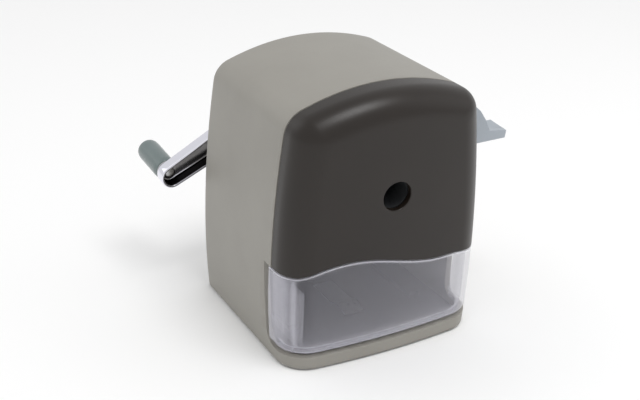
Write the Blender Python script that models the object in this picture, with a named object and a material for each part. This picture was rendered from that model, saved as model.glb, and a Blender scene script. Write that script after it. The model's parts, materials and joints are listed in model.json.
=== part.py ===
"""Desk-top pencil sharpener with a crank at the rear and a clear shavings drawer in front.

The frame has +Z up and the drawer side facing -Y. The origin is the middle of the
grip pad's underside. Sizes below are millimetres, and meshes are made in metres.
"""

import math

import bmesh
import bpy
import numpy as np
from mathutils import Matrix

MM = 0.001

# Outer body
BODY_WIDTH = 80.0
BODY_HEIGHT = 101.8
BODY_DEPTH = 61.5  # from the cover's seam to the rear wall
SEAM_Y = -21.0  # the seam's place at floor level
FACE_BULGE = 16.4  # how far the middle of the front stands before the seam
FACE_SAG = 1.7  # how much the front falls back towards its sides
RIM_RADIUS = 10.0  # roll from the front face into the sides and top
LEAN = math.radians(3.6)  # the whole body leans towards the user
WIDEST_Z = 30.0
FOOT_DRAFT = 1.45  # how much each side draws in from the widest level to the floor
SHOULDER_DRAFT = 4.3  # the same, up to the shoulder
SHOULDER_DROP = 11.8  # the shoulder's level below the crown
CROWN_RADIUS = 81.0
SHOULDER_RADIUS = 9.6
REAR_DRAFT = 0.6
REAR_RADIUS = 3.0
WALL = 2.4
FOOT_Z = 0.9  # the shell's lower edge above the floor

# Lower front: lip, drawer bay and the wavy edge between cover and drawer
LIP_TOP = 5.5
BAY_STEP = 3.0  # how far the housing's edge stands back beside the drawer
BAY_RADIUS = 5.0
WAVE_MEAN = 38.4
WAVE_HEIGHT = 3.45
WAVE_LENGTH = 78.0
WAVE_CREST_X = -17.0
WAVE_FALL = 2.5  # last drop of the edge towards the right side
DRAWER_WALL = 1.8
DRAWER_BOTTOM = 6.1
DRAWER_EDGE_BACK = 1.6  # the drawer front's side edges reach this far behind the seam
TRAY_WIDTH = 68.0
TRAY_BACK_GAP = 9.0
TRAY_TOP = 31.0
PLATE_THICKNESS = 2.2
PAD_SIZE = (56.0, 40.0)

# Fits
GAP = 0.3  # between pieces that touch
SEAM_GAP = 0.4  # visible joint between mouldings
RUN = 0.3  # running clearance

# Pencil axis and cutter head. Places along it count from the front face.
HOLE_Z = 64.4
HOLE_RADIUS = 5.4
GUIDE_RADIUS = 6.0
GUIDE_THROAT = 4.6
FRAME_RADIUS = 20.5
FRAME_WALL = 1.8
FRAME_FRONT = 12.4
FRAME_PLATE = 8.0  # from the rear wall's inside to the front of the rear plate
CONE_ANGLE = math.radians(10.5)
TIP_STAND = 2.5  # from the cutter's tip back to the carrier's hub
CUTTER_RADIUS = 5.5
CUTTER_FLUTES = 8
CUTTER_TWIST = 2.6
PINION_TEETH = 12
RING_TEETH = 38
PINION_FRONT = 21.2
PINION_FACE = 3.8
AXLE_RADIUS = 1.5
DISC_FRONT = 15.4
AXLE_WALL = 0.55  # metal left outside the axle's hole in the disc
BAR_INNER = 8.0
BAR_CLEAR = 1.05  # from the bar out to the ring gear's teeth
HUB_CLEAR = 4.346  # from the hub's boss back to the frame's rear plate
HUB_LENGTH = 6.5
HUB_BOSS_LENGTH = 7.0
SHAFT_RADIUS = 3.0
BUSH_RADIUS = 5.5
BOSS_RADIUS = 8.0
BOSS_HEIGHT = 4.2
LOCK_THICKNESS = 3.0
LOCK_FRONT = 23.5
LOCK_WIDTH = 9.0
LEVER_TRAVEL = math.radians(14.0)
LEVER_STAND = 20.6  # how far the lever stands past the widest side
LEVER_CLEAR = 3.5  # from that side out to the lever's inner edge

# Crank
ARM_LENGTH = 53.2
ARM_ANGLE = math.radians(207.0)  # seen from the front, from +X towards +Z
ARM_STAND = 10.1  # from the rear wall to the channel's front rim
ARM_DEPTH = 6.0
ARM_WALL = 1.1
ARM_HUB_RADIUS = 6.6
ARM_END_RADIUS = 4.6
KNOB_RADIUS = 4.6
KNOB_LENGTH = 20.6
PIN_RADIUS = 1.5
SCREW_RADIUS = 1.3

# Places that follow from the sizes above
REAR_Y = SEAM_Y + BODY_DEPTH
SLOPE = math.tan(LEAN)
SHOULDER_Z = BODY_HEIGHT - SHOULDER_DROP
FACE_Y = SEAM_Y - FACE_BULGE - SLOPE * HOLE_Z
REAR_AT = (FACE_BULGE + BODY_DEPTH) * math.cos(LEAN)
HUB_FRONT = REAR_AT - WALL - FRAME_PLATE - HUB_CLEAR - HUB_BOSS_LENGTH - HUB_LENGTH
TIP = HUB_FRONT - TIP_STAND
APEX = TIP + CUTTER_RADIUS / math.sin(CONE_ANGLE)
GEAR_RATIO = RING_TEETH / PINION_TEETH
PINION_CONE = math.atan(math.sin(CONE_ANGLE) / (GEAR_RATIO - math.cos(CONE_ANGLE)))
PINION_SPREAD = math.tan(PINION_CONE) / math.cos(CONE_ANGLE)  # pitch radius for each mm from the apex
TOOTH_TOP = 0.7 * 2 / PINION_TEETH  # height of a tooth above the pitch line, as a share of the pinion
PINION_TIP = (APEX - PINION_FRONT) * PINION_SPREAD * (1 + TOOTH_TOP)
RING_BACK = PINION_FRONT + PINION_FACE + 0.3
RING_TIP = (APEX - RING_BACK) * (math.tan(CONE_ANGLE + PINION_CONE) - PINION_SPREAD * TOOTH_TOP)
CARRIER_DISC = (DISC_FRONT, PINION_FRONT - PINION_TIP * math.sin(CONE_ANGLE) - RUN)
CARRIER_RADIUS = (APEX - DISC_FRONT) * math.tan(CONE_ANGLE) + AXLE_RADIUS + GAP + AXLE_WALL
CARRIER_BAR = (BAR_INNER, RING_TIP - BAR_CLEAR)
LEVER_REACH = BODY_WIDTH / 2 + LEVER_STAND
LEVER_INNER = BODY_WIDTH / 2 + LEVER_CLEAR
PLATE_BOTTOM = FOOT_Z + 0.3
PLATE_TOP = PLATE_BOTTOM + PLATE_THICKNESS
TRAY_BACK = REAR_Y - WALL - SLOPE * TRAY_TOP - TRAY_BACK_GAP
ARM_FRONT = REAR_AT + ARM_STAND
ARM_BACK = ARM_FRONT + ARM_DEPTH
WEB_FRONT = ARM_BACK - ARM_WALL
POST_X = BODY_WIDTH / 2 - 9.5
POST_Y = REAR_Y - 6.6
POST_RADIUS = 3.4
POST_TOP = 20.0


# ---------------------------------------------------------------- helpers


def clear_scene():
    for old in list(bpy.data.objects):
        bpy.data.objects.remove(old)


def finish(name, color, roughness, metallic=0.0, alpha=1.0):
    """A material with one Principled shader."""
    material = bpy.data.materials.new(name)
    material.use_nodes = True
    shader = material.node_tree.nodes["Principled BSDF"]
    shader.inputs["Base Color"].default_value = (*color, 1.0)
    shader.inputs["Roughness"].default_value = roughness
    shader.inputs["Metallic"].default_value = metallic
    shader.inputs["Alpha"].default_value = alpha
    return material


def solid(name, points, faces, material=None, parent=None):
    """An object from points in millimetres, with its faces turned outwards."""
    mesh = bpy.data.meshes.new(name)
    mesh.from_pydata([tuple(p) for p in np.asarray(points) * MM], [], faces)
    work = bmesh.new()
    work.from_mesh(mesh)
    bmesh.ops.remove_doubles(work, verts=work.verts, dist=1e-7)
    bmesh.ops.recalc_face_normals(work, faces=work.faces)
    work.to_mesh(mesh)
    work.free()
    mesh.shade_smooth()
    mesh.set_sharp_from_angle(angle=math.radians(35))
    thing = bpy.data.objects.new(name, mesh)
    bpy.context.scene.collection.objects.link(thing)
    thing.parent = parent
    if material:
        mesh.materials.append(material)
    return thing


def loft(name, rings, material=None, parent=None):
    """A closed solid through rings of equal count, with flat ends."""
    rings = np.asarray(rings, float)
    count, size = rings.shape[:2]
    faces = [list(range(size))[::-1], [(count - 1) * size + j for j in range(size)]]
    for i in range(count - 1):
        for j in range(size):
            k = (j + 1) % size
            faces.append([i * size + j, i * size + k, (i + 1) * size + k, (i + 1) * size + j])
    return solid(name, rings.reshape(-1, 3), faces, material, parent)


def closed_loft(name, rings, material=None, parent=None):
    """A ring-shaped solid: the last ring joins the first."""
    rings = np.asarray(rings, float)
    count, size = rings.shape[:2]
    faces = []
    for i in range(count):
        n = (i + 1) % count
        for j in range(size):
            k = (j + 1) % size
            faces.append([i * size + j, i * size + k, n * size + k, n * size + j])
    return solid(name, rings.reshape(-1, 3), faces, material, parent)


def circle(radius, along, segments=40, centre=(0.0, 0.0)):
    """Points round the local Y axis at one place along it."""
    turn = np.linspace(0, 2 * math.pi, segments, endpoint=False)
    return np.stack(
        [
            centre[0] + radius * np.cos(turn),
            np.full(segments, along),
            centre[1] + radius * np.sin(turn),
        ],
        axis=1,
    )


def turned(name, profile, material=None, parent=None, segments=40, centre=(0.0, 0.0)):
    """A hollow turned piece from a closed profile of (radius, place along the axis)."""
    rings = [circle(r, y, segments, centre) for r, y in profile]
    return closed_loft(name, rings, material, parent)


def spindle(name, profile, material=None, parent=None, segments=40, centre=(0.0, 0.0)):
    """A solid turned piece from (radius, place along the axis), with flat ends."""
    rings = [circle(r, y, segments, centre) for r, y in profile]
    return loft(name, rings, material, parent)


def upright(name, x, y, profile, material=None, segments=24):
    """A solid turned piece that stands along Z, from (radius, height)."""
    rings = [circle(r, 0.0, segments)[:, [0, 2, 1]] + (x, y, z) for r, z in profile]
    return loft(name, rings, material)


def block(name, low, high, material=None, parent=None):
    (x0, y0, z0), (x1, y1, z1) = low, high
    near = [(x0, y0, z0), (x1, y0, z0), (x1, y0, z1), (x0, y0, z1)]
    far = [(x, y1, z) for x, _, z in near]
    return loft(name, [near, far], material, parent)


def prism_x(name, outline, x0, x1, material=None, parent=None):
    """An outline of (y, z) points drawn out along X."""
    return loft(name, [[(x, y, z) for y, z in outline] for x in (x0, x1)], material, parent)


def prism_y(name, outline, y0, y1, material=None, parent=None):
    """An outline of (x, z) points drawn out along Y."""
    return loft(name, [[(x, y, z) for x, z in outline] for y in (y0, y1)], material, parent)


def arc_block(name, radii, along, angles, material=None, parent=None, steps=14):
    """A piece of a tube between two angles about the local Y axis."""
    rings = []
    for turn in np.linspace(*angles, steps):
        c, s = math.cos(turn), math.sin(turn)
        corners = [(radii[0], along[0]), (radii[1], along[0]), (radii[1], along[1]), (radii[0], along[1])]
        rings.append([(r * c, y, r * s) for r, y in corners])
    return loft(name, rings, material, parent)


def boolean(target, tool, operation):
    step = target.modifiers.new(tool.name, "BOOLEAN")
    step.operation = operation
    step.solver = "EXACT"
    step.object = tool
    tool.hide_render = True
    tool.display_type = "WIRE"


def cut(target, *tools):
    for tool in tools:
        boolean(target, tool, "DIFFERENCE")


def join(target, *tools):
    for tool in tools:
        boolean(target, tool, "UNION")


# ---------------------------------------------------------------- body surface


def half_width(z):
    """The body draws in quadratically above and below its widest level."""
    below = FOOT_DRAFT * ((WIDEST_Z - z) / WIDEST_Z) ** 2
    above = SHOULDER_DRAFT * ((z - WIDEST_Z) / (SHOULDER_Z - WIDEST_Z)) ** 2
    return BODY_WIDTH / 2 - np.where(z < WIDEST_Z, below, above)


def side_curve(z, inset):
    """A point of the right side moved inwards along its normal, and the normal's angle."""
    slope = (half_width(z + 0.01) - half_width(z - 0.01)) / 0.02
    size = math.hypot(1.0, slope)
    return half_width(z) - inset / size, z + inset * slope / size, math.atan2(-slope, 1.0)


def crown_curve(x, inset):
    """The same for the crown, a shallow parabola."""
    slope = -x / CROWN_RADIUS
    size = math.hypot(1.0, slope)
    height = BODY_HEIGHT - x * x / (2 * CROWN_RADIUS)
    return x + inset * slope / size, height - inset / size, math.atan2(1.0, -slope)


def section(inset, base):
    """The body's cross-section as (x, z), from the right foot over the crown to the left foot.

    The shoulder is an arc that touches the inset side and the inset crown. Its centre is
    found by letting the two contact points settle against each other.
    """
    radius = max(SHOULDER_RADIUS - inset, 4.0)
    side_z, crown_x = SHOULDER_Z - 8, BODY_WIDTH / 2 - 14
    for _ in range(60):
        cx, cz, turn_side = side_curve(side_z, inset + radius)
        tx, tz, turn_crown = crown_curve(crown_x, inset + radius)
        side_z += tz - cz
        crown_x += cx - tx
    side = [side_curve(z, inset)[:2] for z in np.linspace(base, side_z, 10)]
    turns = np.linspace(turn_side, turn_crown, 6)[1:-1]
    arc = [(cx + radius * math.cos(t), cz + radius * math.sin(t)) for t in turns]
    crown = [crown_curve(x, inset)[:2] for x in np.linspace(crown_x, 0, 8)]
    half = np.array(side + arc + crown)
    half[0, 1] = base
    return np.concatenate([half, (half * (-1, 1))[-2::-1]])


def face_forward(points, inset):
    """How far the front stands before the seam: highest in the middle, falling to the sides."""
    return FACE_BULGE - inset - FACE_SAG * (points[:, 0] / (BODY_WIDTH / 2 - RIM_RADIUS)) ** 2


def body_form(name, inset, base, front_inset=None):
    """The whole closed body, rear wall to front face, moved inwards by inset."""
    front_inset = inset if front_inset is None else front_inset
    rings = []

    def ring(outline, forward):
        y = SEAM_Y - SLOPE * outline[:, 1] - forward
        rings.append(np.stack([outline[:, 0], y, outline[:, 1]], axis=1))

    rear_radius = max(REAR_RADIUS - inset, 0.6)
    for turn in np.radians([90, 60, 30, 0]):
        back = BODY_DEPTH - inset - rear_radius * (1 - math.sin(turn))
        ring(section(inset + REAR_DRAFT + rear_radius * (1 - math.cos(turn)), base), -back)
    ring(section(inset, base), 0.0)
    radius = RIM_RADIUS - inset
    for turn in np.radians([0, 18, 36, 54, 68, 80]):
        outline = section(inset + radius * (1 - math.cos(turn)), base)
        ring(outline, face_forward(outline, front_inset) - radius * (1 - math.sin(turn)))
    for scale in (0.8, 0.6, 0.4, 0.2):
        inner = outline * scale + (0, base * (1 - scale))
        ring(inner, face_forward(inner, front_inset) - radius * (1 - math.sin(turn)) * scale)
    return loft(name, rings)


def wave(x):
    """The edge between cover and drawer: half a cosine wave, then a soft fall to the right.

    It runs level across the thickness of the side walls.
    """
    level_from = BODY_WIDTH / 2 - WALL - 1.6
    x = np.clip(x, -level_from, level_from)
    trough = WAVE_CREST_X + WAVE_LENGTH / 2
    swing = WAVE_MEAN + WAVE_HEIGHT * np.cos(2 * math.pi * (x - WAVE_CREST_X) / WAVE_LENGTH)
    fall = WAVE_MEAN - WAVE_HEIGHT - WAVE_FALL * ((x - trough) / (BODY_WIDTH / 2 - trough)) ** 2
    return np.where(x < trough, swing, fall)


def wave_block(name, z_far, shift, y0, y1):
    """A block whose one side is the wavy edge, shifted up or down."""
    half = BODY_WIDTH / 2
    x = np.concatenate([[-half - 20], np.linspace(-half, half, 33), [half + 20]])
    edge = wave(x) + shift
    outline = list(zip(x, edge, strict=True)) + [(x[-1], z_far), (x[0], z_far)]
    return prism_y(name, outline, y0, y1)


def behind(name, forward, far):
    """A leaning block, from a plane this far before the seam to another one."""
    low, high = -30.0, BODY_HEIGHT + 30
    corners = ((low, forward), (low, far), (high, far), (high, forward))
    outline = [(SEAM_Y - SLOPE * z - f, z) for z, f in corners]
    return prism_x(name, outline, -BODY_WIDTH, BODY_WIDTH)


def bay_arc(inside):
    """Quarter round between lip and housing edge, as (y, z), drawn smaller by `inside`."""
    centre_y, centre_z = SEAM_Y + BAY_STEP - BAY_RADIUS, LIP_TOP + BAY_RADIUS
    radius = BAY_RADIUS - inside
    turns = np.radians(np.linspace(-90, 0, 7))
    return [(centre_y + radius * math.cos(t), centre_z + radius * math.sin(t)) for t in turns]


def bay_cutter(name):
    """Takes away all that stands before the housing.

    Above the wavy edge it ends at the seam. Below it, it steps back for the drawer and
    rounds into the lip. Its level passes from the left end of the wave to the right end
    in the open middle, where the housing has no wall.
    """
    step_y = SEAM_Y + BAY_STEP
    arc = bay_arc(0.0)
    far, high, half = SEAM_Y - 60, BODY_HEIGHT + 20, BODY_WIDTH / 2
    rings = []
    for x, end in ((-2 * half, -half), (-half / 4, -half), (half / 4, half), (2 * half, half)):
        top = float(wave(end))
        outline = [(far, LIP_TOP), *arc, (step_y, top), (SEAM_Y - SLOPE * top, top)]
        outline += [(SEAM_Y - SLOPE * high, high), (far, high)]
        rings.append([(x, y, z) for y, z in outline])
    return loft(name, rings)


# ---------------------------------------------------------------- outer pieces


def make_housing(material, axis):
    """Shell with rear wall and lip, a boss for the crank's bush and posts for the base screws."""
    housing = body_form("main_housing", 0.0, FOOT_Z)
    housing.data.materials.append(material)
    half = BODY_WIDTH / 2
    cut(
        housing,
        body_form("housing_hollow", WALL, FOOT_Z - 5),
        bay_cutter("drawer_bay"),
    )
    boss_shape = [(BOSS_RADIUS, REAR_AT - WALL / 2), (BOSS_RADIUS, REAR_AT + BOSS_HEIGHT)]
    boss = spindle("rear_boss", boss_shape, None, axis)
    join(housing, boss)
    for side in (-1, 1):
        x = side * POST_X
        top_wall = REAR_Y - SLOPE * POST_TOP
        join(
            housing,
            upright(f"post_{side}", x, POST_Y, [(POST_RADIUS, PLATE_TOP + GAP), (POST_RADIUS, POST_TOP)]),
            block(
                f"rib_{side}",
                (x - 1.2, POST_Y, PLATE_TOP + 1),
                (x + 1.2, top_wall - WALL / 2, POST_TOP - 1),
            ),
        )
        bore = SCREW_RADIUS + GAP
        cut(housing, upright(f"post_bore_{side}", x, POST_Y, [(bore, PLATE_TOP - 2), (bore, POST_TOP - 4)]))
    bore_shape = [(BUSH_RADIUS + GAP, REAR_AT - 9), (BUSH_RADIUS + GAP, REAR_AT + 12)]
    cut(housing, spindle("bush_bore", bore_shape, None, axis))
    for i, (x, z) in enumerate(frame_screw_places()):
        bore = [(SCREW_RADIUS + 0.5, REAR_AT - 9), (SCREW_RADIUS + 0.5, REAR_AT + 9)]
        cut(housing, spindle(f"wall_hole_{i}", bore, None, axis, 16, (x, z)))
    neck_low, neck_high = lever_neck()
    drop = (half + 2) * math.sin(LEVER_TRAVEL)
    slot_low = (half - 9, neck_low[1] - 0.8, neck_low[2] - drop - 1.2)
    slot_high = (half + 6, neck_high[1] + 0.8, neck_high[2] + 1.2)
    cut(housing, block("lever_slot", slot_low, slot_high, None, axis))
    return housing


def make_cover(material, axis):
    """Front moulding with the pencil hole, the wavy lower edge and two snap tabs inside."""
    cover = body_form("front_cover", 0.0, FOOT_Z)
    cover.data.materials.append(material)
    cut(
        cover,
        body_form("cover_hollow", WALL, FOOT_Z - 5),
        behind("cover_back", SEAM_GAP, -BODY_DEPTH - 20),
        wave_block("cover_wave", FOOT_Z - 10, 0.0, SEAM_Y - 60, REAR_Y + 10),
        spindle("cover_hole", [(HOLE_RADIUS, -6), (HOLE_RADIUS, WALL + 6)], None, axis),
    )
    low, high = HOLE_Z - 15, HOLE_Z - 7
    seam = SEAM_Y - SLOPE * (low + high) / 2
    for side in (-1, 1):
        inner_wall = float(half_width(np.array(high))) - WALL
        xs = sorted((side * (inner_wall - 2.4), side * (inner_wall + 1.0)))
        join(cover, block(f"tab_root_{side}", (xs[0], seam - 5, low), (xs[1], seam - 1.2, high)))
        xs = sorted((side * (inner_wall - 2.0), side * (inner_wall - 0.5)))
        join(cover, block(f"tab_{side}", (xs[0], seam - 3, low + 1), (xs[1], seam + 7, high - 1)))
    return cover


def make_drawer(material):
    """Clear tray with a front that follows the body and closes under the cover's wavy edge."""
    drawer = body_form("shavings_drawer", 0.0, DRAWER_BOTTOM)
    drawer.data.materials.append(material)
    half = TRAY_WIDTH / 2
    front = SEAM_Y - 12
    cut(
        drawer,
        behind("drawer_back", -DRAWER_EDGE_BACK, -BODY_DEPTH - 20),
        wave_block("drawer_wave", BODY_HEIGHT + 20, -SEAM_GAP, SEAM_Y - 60, REAR_Y + 10),
    )
    arc = bay_arc(SEAM_GAP + 0.1)
    (low_y, low_z), (edge_y, edge_z) = arc[0], arc[-1]
    corner = [*arc, (edge_y + 10, edge_z), (edge_y + 10, low_z - 5), (low_y, low_z - 5)]
    cut(drawer, prism_x("corner_round", corner, -BODY_WIDTH, BODY_WIDTH))
    join(drawer, block("tray", (-half, front, DRAWER_BOTTOM), (half, TRAY_BACK, TRAY_TOP)))
    pocket = body_form("drawer_pocket", DRAWER_WALL, DRAWER_BOTTOM + DRAWER_WALL)
    cut(pocket, behind("pocket_back", DRAWER_WALL - DRAWER_EDGE_BACK, -BODY_DEPTH - 20))
    cut(drawer, pocket)
    inner = half - DRAWER_WALL
    low = (-inner, front + 2, DRAWER_BOTTOM + DRAWER_WALL + 0.05)
    cut(drawer, block("tray_hollow", low, (inner, TRAY_BACK - DRAWER_WALL, TRAY_TOP + 20)))
    return drawer


def make_base(material, pad_material, steel):
    """Base plate inside the lip, its grip pad, two screws, the drawer's runners and detent spring."""
    plate = body_form("base_plate", WALL + GAP, PLATE_BOTTOM)
    plate.data.materials.append(material)
    cut(plate, block("plate_top", (-90, -90, PLATE_TOP), (90, 90, BODY_HEIGHT + 20)))
    for side, word in ((-1, "left"), (1, "right")):
        x = side * POST_X
        head, hole = 2.8, SCREW_RADIUS + 0.4
        recess = PLATE_BOTTOM + 1.0
        cut(
            plate,
            upright(f"head_recess_{side}", x, POST_Y, [(head + 0.4, PLATE_BOTTOM - 2), (head + 0.4, recess)]),
            upright(f"plate_hole_{side}", x, POST_Y, [(hole, PLATE_BOTTOM - 2), (hole, PLATE_TOP + 2)]),
        )
        under = recess - GAP
        shape = [(head, under - 1.2), (head, under), (SCREW_RADIUS, under), (SCREW_RADIUS, POST_TOP - 6)]
        upright(f"base_screw_{word}", x, POST_Y, shape, steel)
    wide, deep = PAD_SIZE
    pad = block("grip_pad", (-wide / 2, -deep / 2, 0), (wide / 2, deep / 2, PLATE_BOTTOM - GAP), pad_material)
    corners = pad.modifiers.new("round_corners", "BEVEL")
    corners.width = 0.4 * MM
    corners.segments = 2
    floor, top = PLATE_TOP + GAP, DRAWER_BOTTOM - GAP
    for x, word in ((-28, "left"), (24, "right")):
        block(f"drawer_runner_{word}", (x, SEAM_Y + 8, floor), (x + 4, TRAY_BACK - 3, top), material)
    bump = top - floor
    y = np.linspace(SEAM_Y + 8, SEAM_Y + 34, 14)
    lift = (bump - 0.45) * np.exp(-(((y - SEAM_Y - 14) / 3.0) ** 2))
    leaf = [(a, floor + b) for a, b in zip(y, lift, strict=True)]
    leaf += [(a, floor + b + 0.4) for a, b in zip(y[::-1], lift[::-1], strict=True)]
    prism_x("drawer_detent", leaf, -4, 4, steel)


# ---------------------------------------------------------------- cutter head


def frame_screw_places():
    reach = FRAME_RADIUS - 5.0
    return [(reach * math.cos(t), reach * math.sin(t)) for t in np.radians([45, 135, 225, 315])]


def lever_neck():
    """Opposite corners of the lever's neck, which passes through the side wall."""
    middle = LOCK_FRONT + LOCK_WIDTH / 2
    return (FRAME_RADIUS + 1.6, middle - 2.5, 0.4), (LEVER_INNER + 1.5, middle + 2.5, 6.4)


def make_frame(material, axis, steel):
    """Cage: front wall, bearing collar, tube and rear plate in one turned form, open below."""
    inner = FRAME_RADIUS - FRAME_WALL
    collar = CARRIER_RADIUS + RUN
    back, plate = REAR_AT - WALL - GAP, REAR_AT - WALL - FRAME_PLATE
    profile = [
        (GUIDE_RADIUS + GAP, FRAME_FRONT),
        (FRAME_RADIUS, FRAME_FRONT),
        (FRAME_RADIUS, back),
        (BUSH_RADIUS + GAP, back),
        (BUSH_RADIUS + GAP, plate),
        (inner, plate),
        (inner, CARRIER_DISC[1]),
        (collar, CARRIER_DISC[1]),
        (collar, CARRIER_DISC[0] - GAP),
        (GUIDE_RADIUS + GAP, CARRIER_DISC[0] - GAP),
    ]
    frame = turned("mechanism_frame", profile, material, axis, 56)
    window = (LOCK_FRONT + LOCK_WIDTH + 1, plate - 3)
    radii = (inner - 4, FRAME_RADIUS + 4)
    cut(frame, arc_block("window_below", radii, window, np.radians([205, 335]), None, axis))
    cut(frame, arc_block("window_above", radii, window, np.radians([60, 120]), None, axis))
    for i, (start, end) in enumerate(lug_angles()):
        swing = (start - LEVER_TRAVEL - math.radians(4), end + math.radians(4))
        along = (lug_front() - 0.4, lug_front() + 3.4)
        cut(frame, arc_block(f"lug_slot_{i}", radii, along, swing, None, axis))
    for i, (x, z) in enumerate(frame_screw_places()):
        bore = [(SCREW_RADIUS + GAP, back - 6.0), (SCREW_RADIUS + GAP, back + 3)]
        cut(frame, spindle(f"plate_bore_{i}", bore, None, axis, 16, (x, z)))
        start = REAR_AT + GAP
        shape = [(SCREW_RADIUS, back - 5.0), (SCREW_RADIUS, start)]
        shape += [(2.9, start), (2.9, start + 1.2), (1.9, start + 1.9)]
        spindle(f"frame_screw_{i + 1}", shape, steel, axis, 20, (x, z))
    return frame


def lug_front():
    """The lock ring's lugs stand just behind the ring gear."""
    return RING_BACK + GAP + 0.1


def lug_angles():
    return [tuple(np.radians([start, start + 28])) for start in (26, 206)]


def make_guide(material, axis):
    """Sleeve behind the hole, funnelled towards the carrier, with a flange on the frame's front."""
    start, end = WALL + 0.5, CARRIER_DISC[0] - GAP
    flange = FRAME_FRONT - GAP
    profile = [
        (HOLE_RADIUS, start),
        (GUIDE_RADIUS, start),
        (GUIDE_RADIUS, flange - 2.2),
        (GUIDE_RADIUS + 3.5, flange - 2.2),
        (GUIDE_RADIUS + 3.5, flange),
        (GUIDE_RADIUS, flange),
        (GUIDE_RADIUS, end - 0.2),
        (GUIDE_THROAT, end - 0.2),
        (GUIDE_THROAT, flange - 3),
    ]
    turned("pencil_guide", profile, material, axis)


def toothed(count, tip, root, phase):
    """Straight-sided teeth as (angle, radius): narrow at the tip, wide at the root."""
    pitch = 2 * math.pi / count
    corners = ((-0.31, root), (-0.13, tip), (0.13, tip), (0.31, root))
    angles = [phase + pitch * (i + a) for i in range(count) for a, _ in corners]
    radii = [r for _ in range(count) for _, r in corners]
    return np.array(angles), np.array(radii)


def bevel_rings(angles, radii, places, apex):
    """One outline repeated along the Y axis, drawn in towards the common apex."""
    middle = (places[0] + places[-1]) / 2
    rings = []
    for y in places:
        scale = (apex - y) / (apex - middle)
        pairs = zip(angles, radii, strict=True)
        ring = [(r * scale * math.cos(t), y, r * scale * math.sin(t)) for t, r in pairs]
        rings.append(ring)
    return rings


def gear_sizes():
    """Pitch radii where the pinion's middle stands, from the two axes that meet at the apex."""
    middle = APEX - PINION_FRONT - PINION_FACE / 2
    pinion = middle * PINION_SPREAD
    ring = middle * math.tan(CONE_ANGLE + PINION_CONE)
    return pinion, ring, 2 * pinion / PINION_TEETH


def make_ring_gear(material, axis):
    """Fixed internal gear. A gap of its teeth stands straight up, where the pinion meshes."""
    _, pitch, module = gear_sizes()
    first = math.pi / 2 + math.pi / RING_TEETH
    angles, radii = toothed(RING_TEETH, pitch - 0.7 * module, pitch + 1.1 * module, first)
    front, back = PINION_FRONT - 0.4, RING_BACK
    teeth = bevel_rings(angles, radii, (front, back), APEX)
    outer = FRAME_RADIUS - FRAME_WALL - GAP
    rims = [[(outer * math.cos(t), y, outer * math.sin(t)) for t in angles] for y in (back, front)]
    closed_loft("ring_gear", [*teeth, *rims], material, axis)


def make_carrier(material, steel, axis, cutter_axis):
    """Front ring, side bar and rear hub in one casting, bored for the inclined axle."""
    carrier = spindle(
        "cutter_carrier",
        [(CARRIER_RADIUS, CARRIER_DISC[0]), (CARRIER_RADIUS, CARRIER_DISC[1])],
        material,
        axis,
        48,
    )
    hub_back = HUB_FRONT + HUB_LENGTH
    boss_back = hub_back + HUB_BOSS_LENGTH
    outer = CARRIER_BAR[1]
    bar_along = (CARRIER_DISC[1] - 2, HUB_FRONT + 2)
    bar = arc_block("carrier_bar", CARRIER_BAR, bar_along, np.radians([225, 315]), None, axis)
    hub_shape = [(outer, HUB_FRONT), (outer, hub_back)]
    hub_shape += [(SHAFT_RADIUS + 4, hub_back), (SHAFT_RADIUS + 4, boss_back)]
    join(carrier, bar, spindle("carrier_hub", hub_shape, None, axis, 48))
    axle_hole = AXLE_RADIUS + GAP
    axle_bore = [(axle_hole, -(APEX - CARRIER_DISC[0] + 8)), (axle_hole, -(APEX - hub_back + 2))]
    bore = SHAFT_RADIUS + GAP
    way = GUIDE_THROAT + 0.7
    cut(
        carrier,
        spindle("pencil_way", [(way, 5), (way, CARRIER_DISC[1] + 5)], None, axis),
        spindle("axle_bore", axle_bore, None, cutter_axis, 20),
        spindle("stop_bore", [(1.2 + GAP, HUB_FRONT - 4), (1.2 + GAP, hub_back + 3)], None, axis, 20),
        spindle("shaft_socket", [(bore, hub_back + 1.5), (bore, boss_back + 4)], None, axis, 24),
    )
    stop = [(0.6, HUB_FRONT - 0.8), (1.2, HUB_FRONT - 0.4), (1.2, hub_back + 1.2)]
    spindle("tip_stop", stop, steel, axis, 20)


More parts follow.
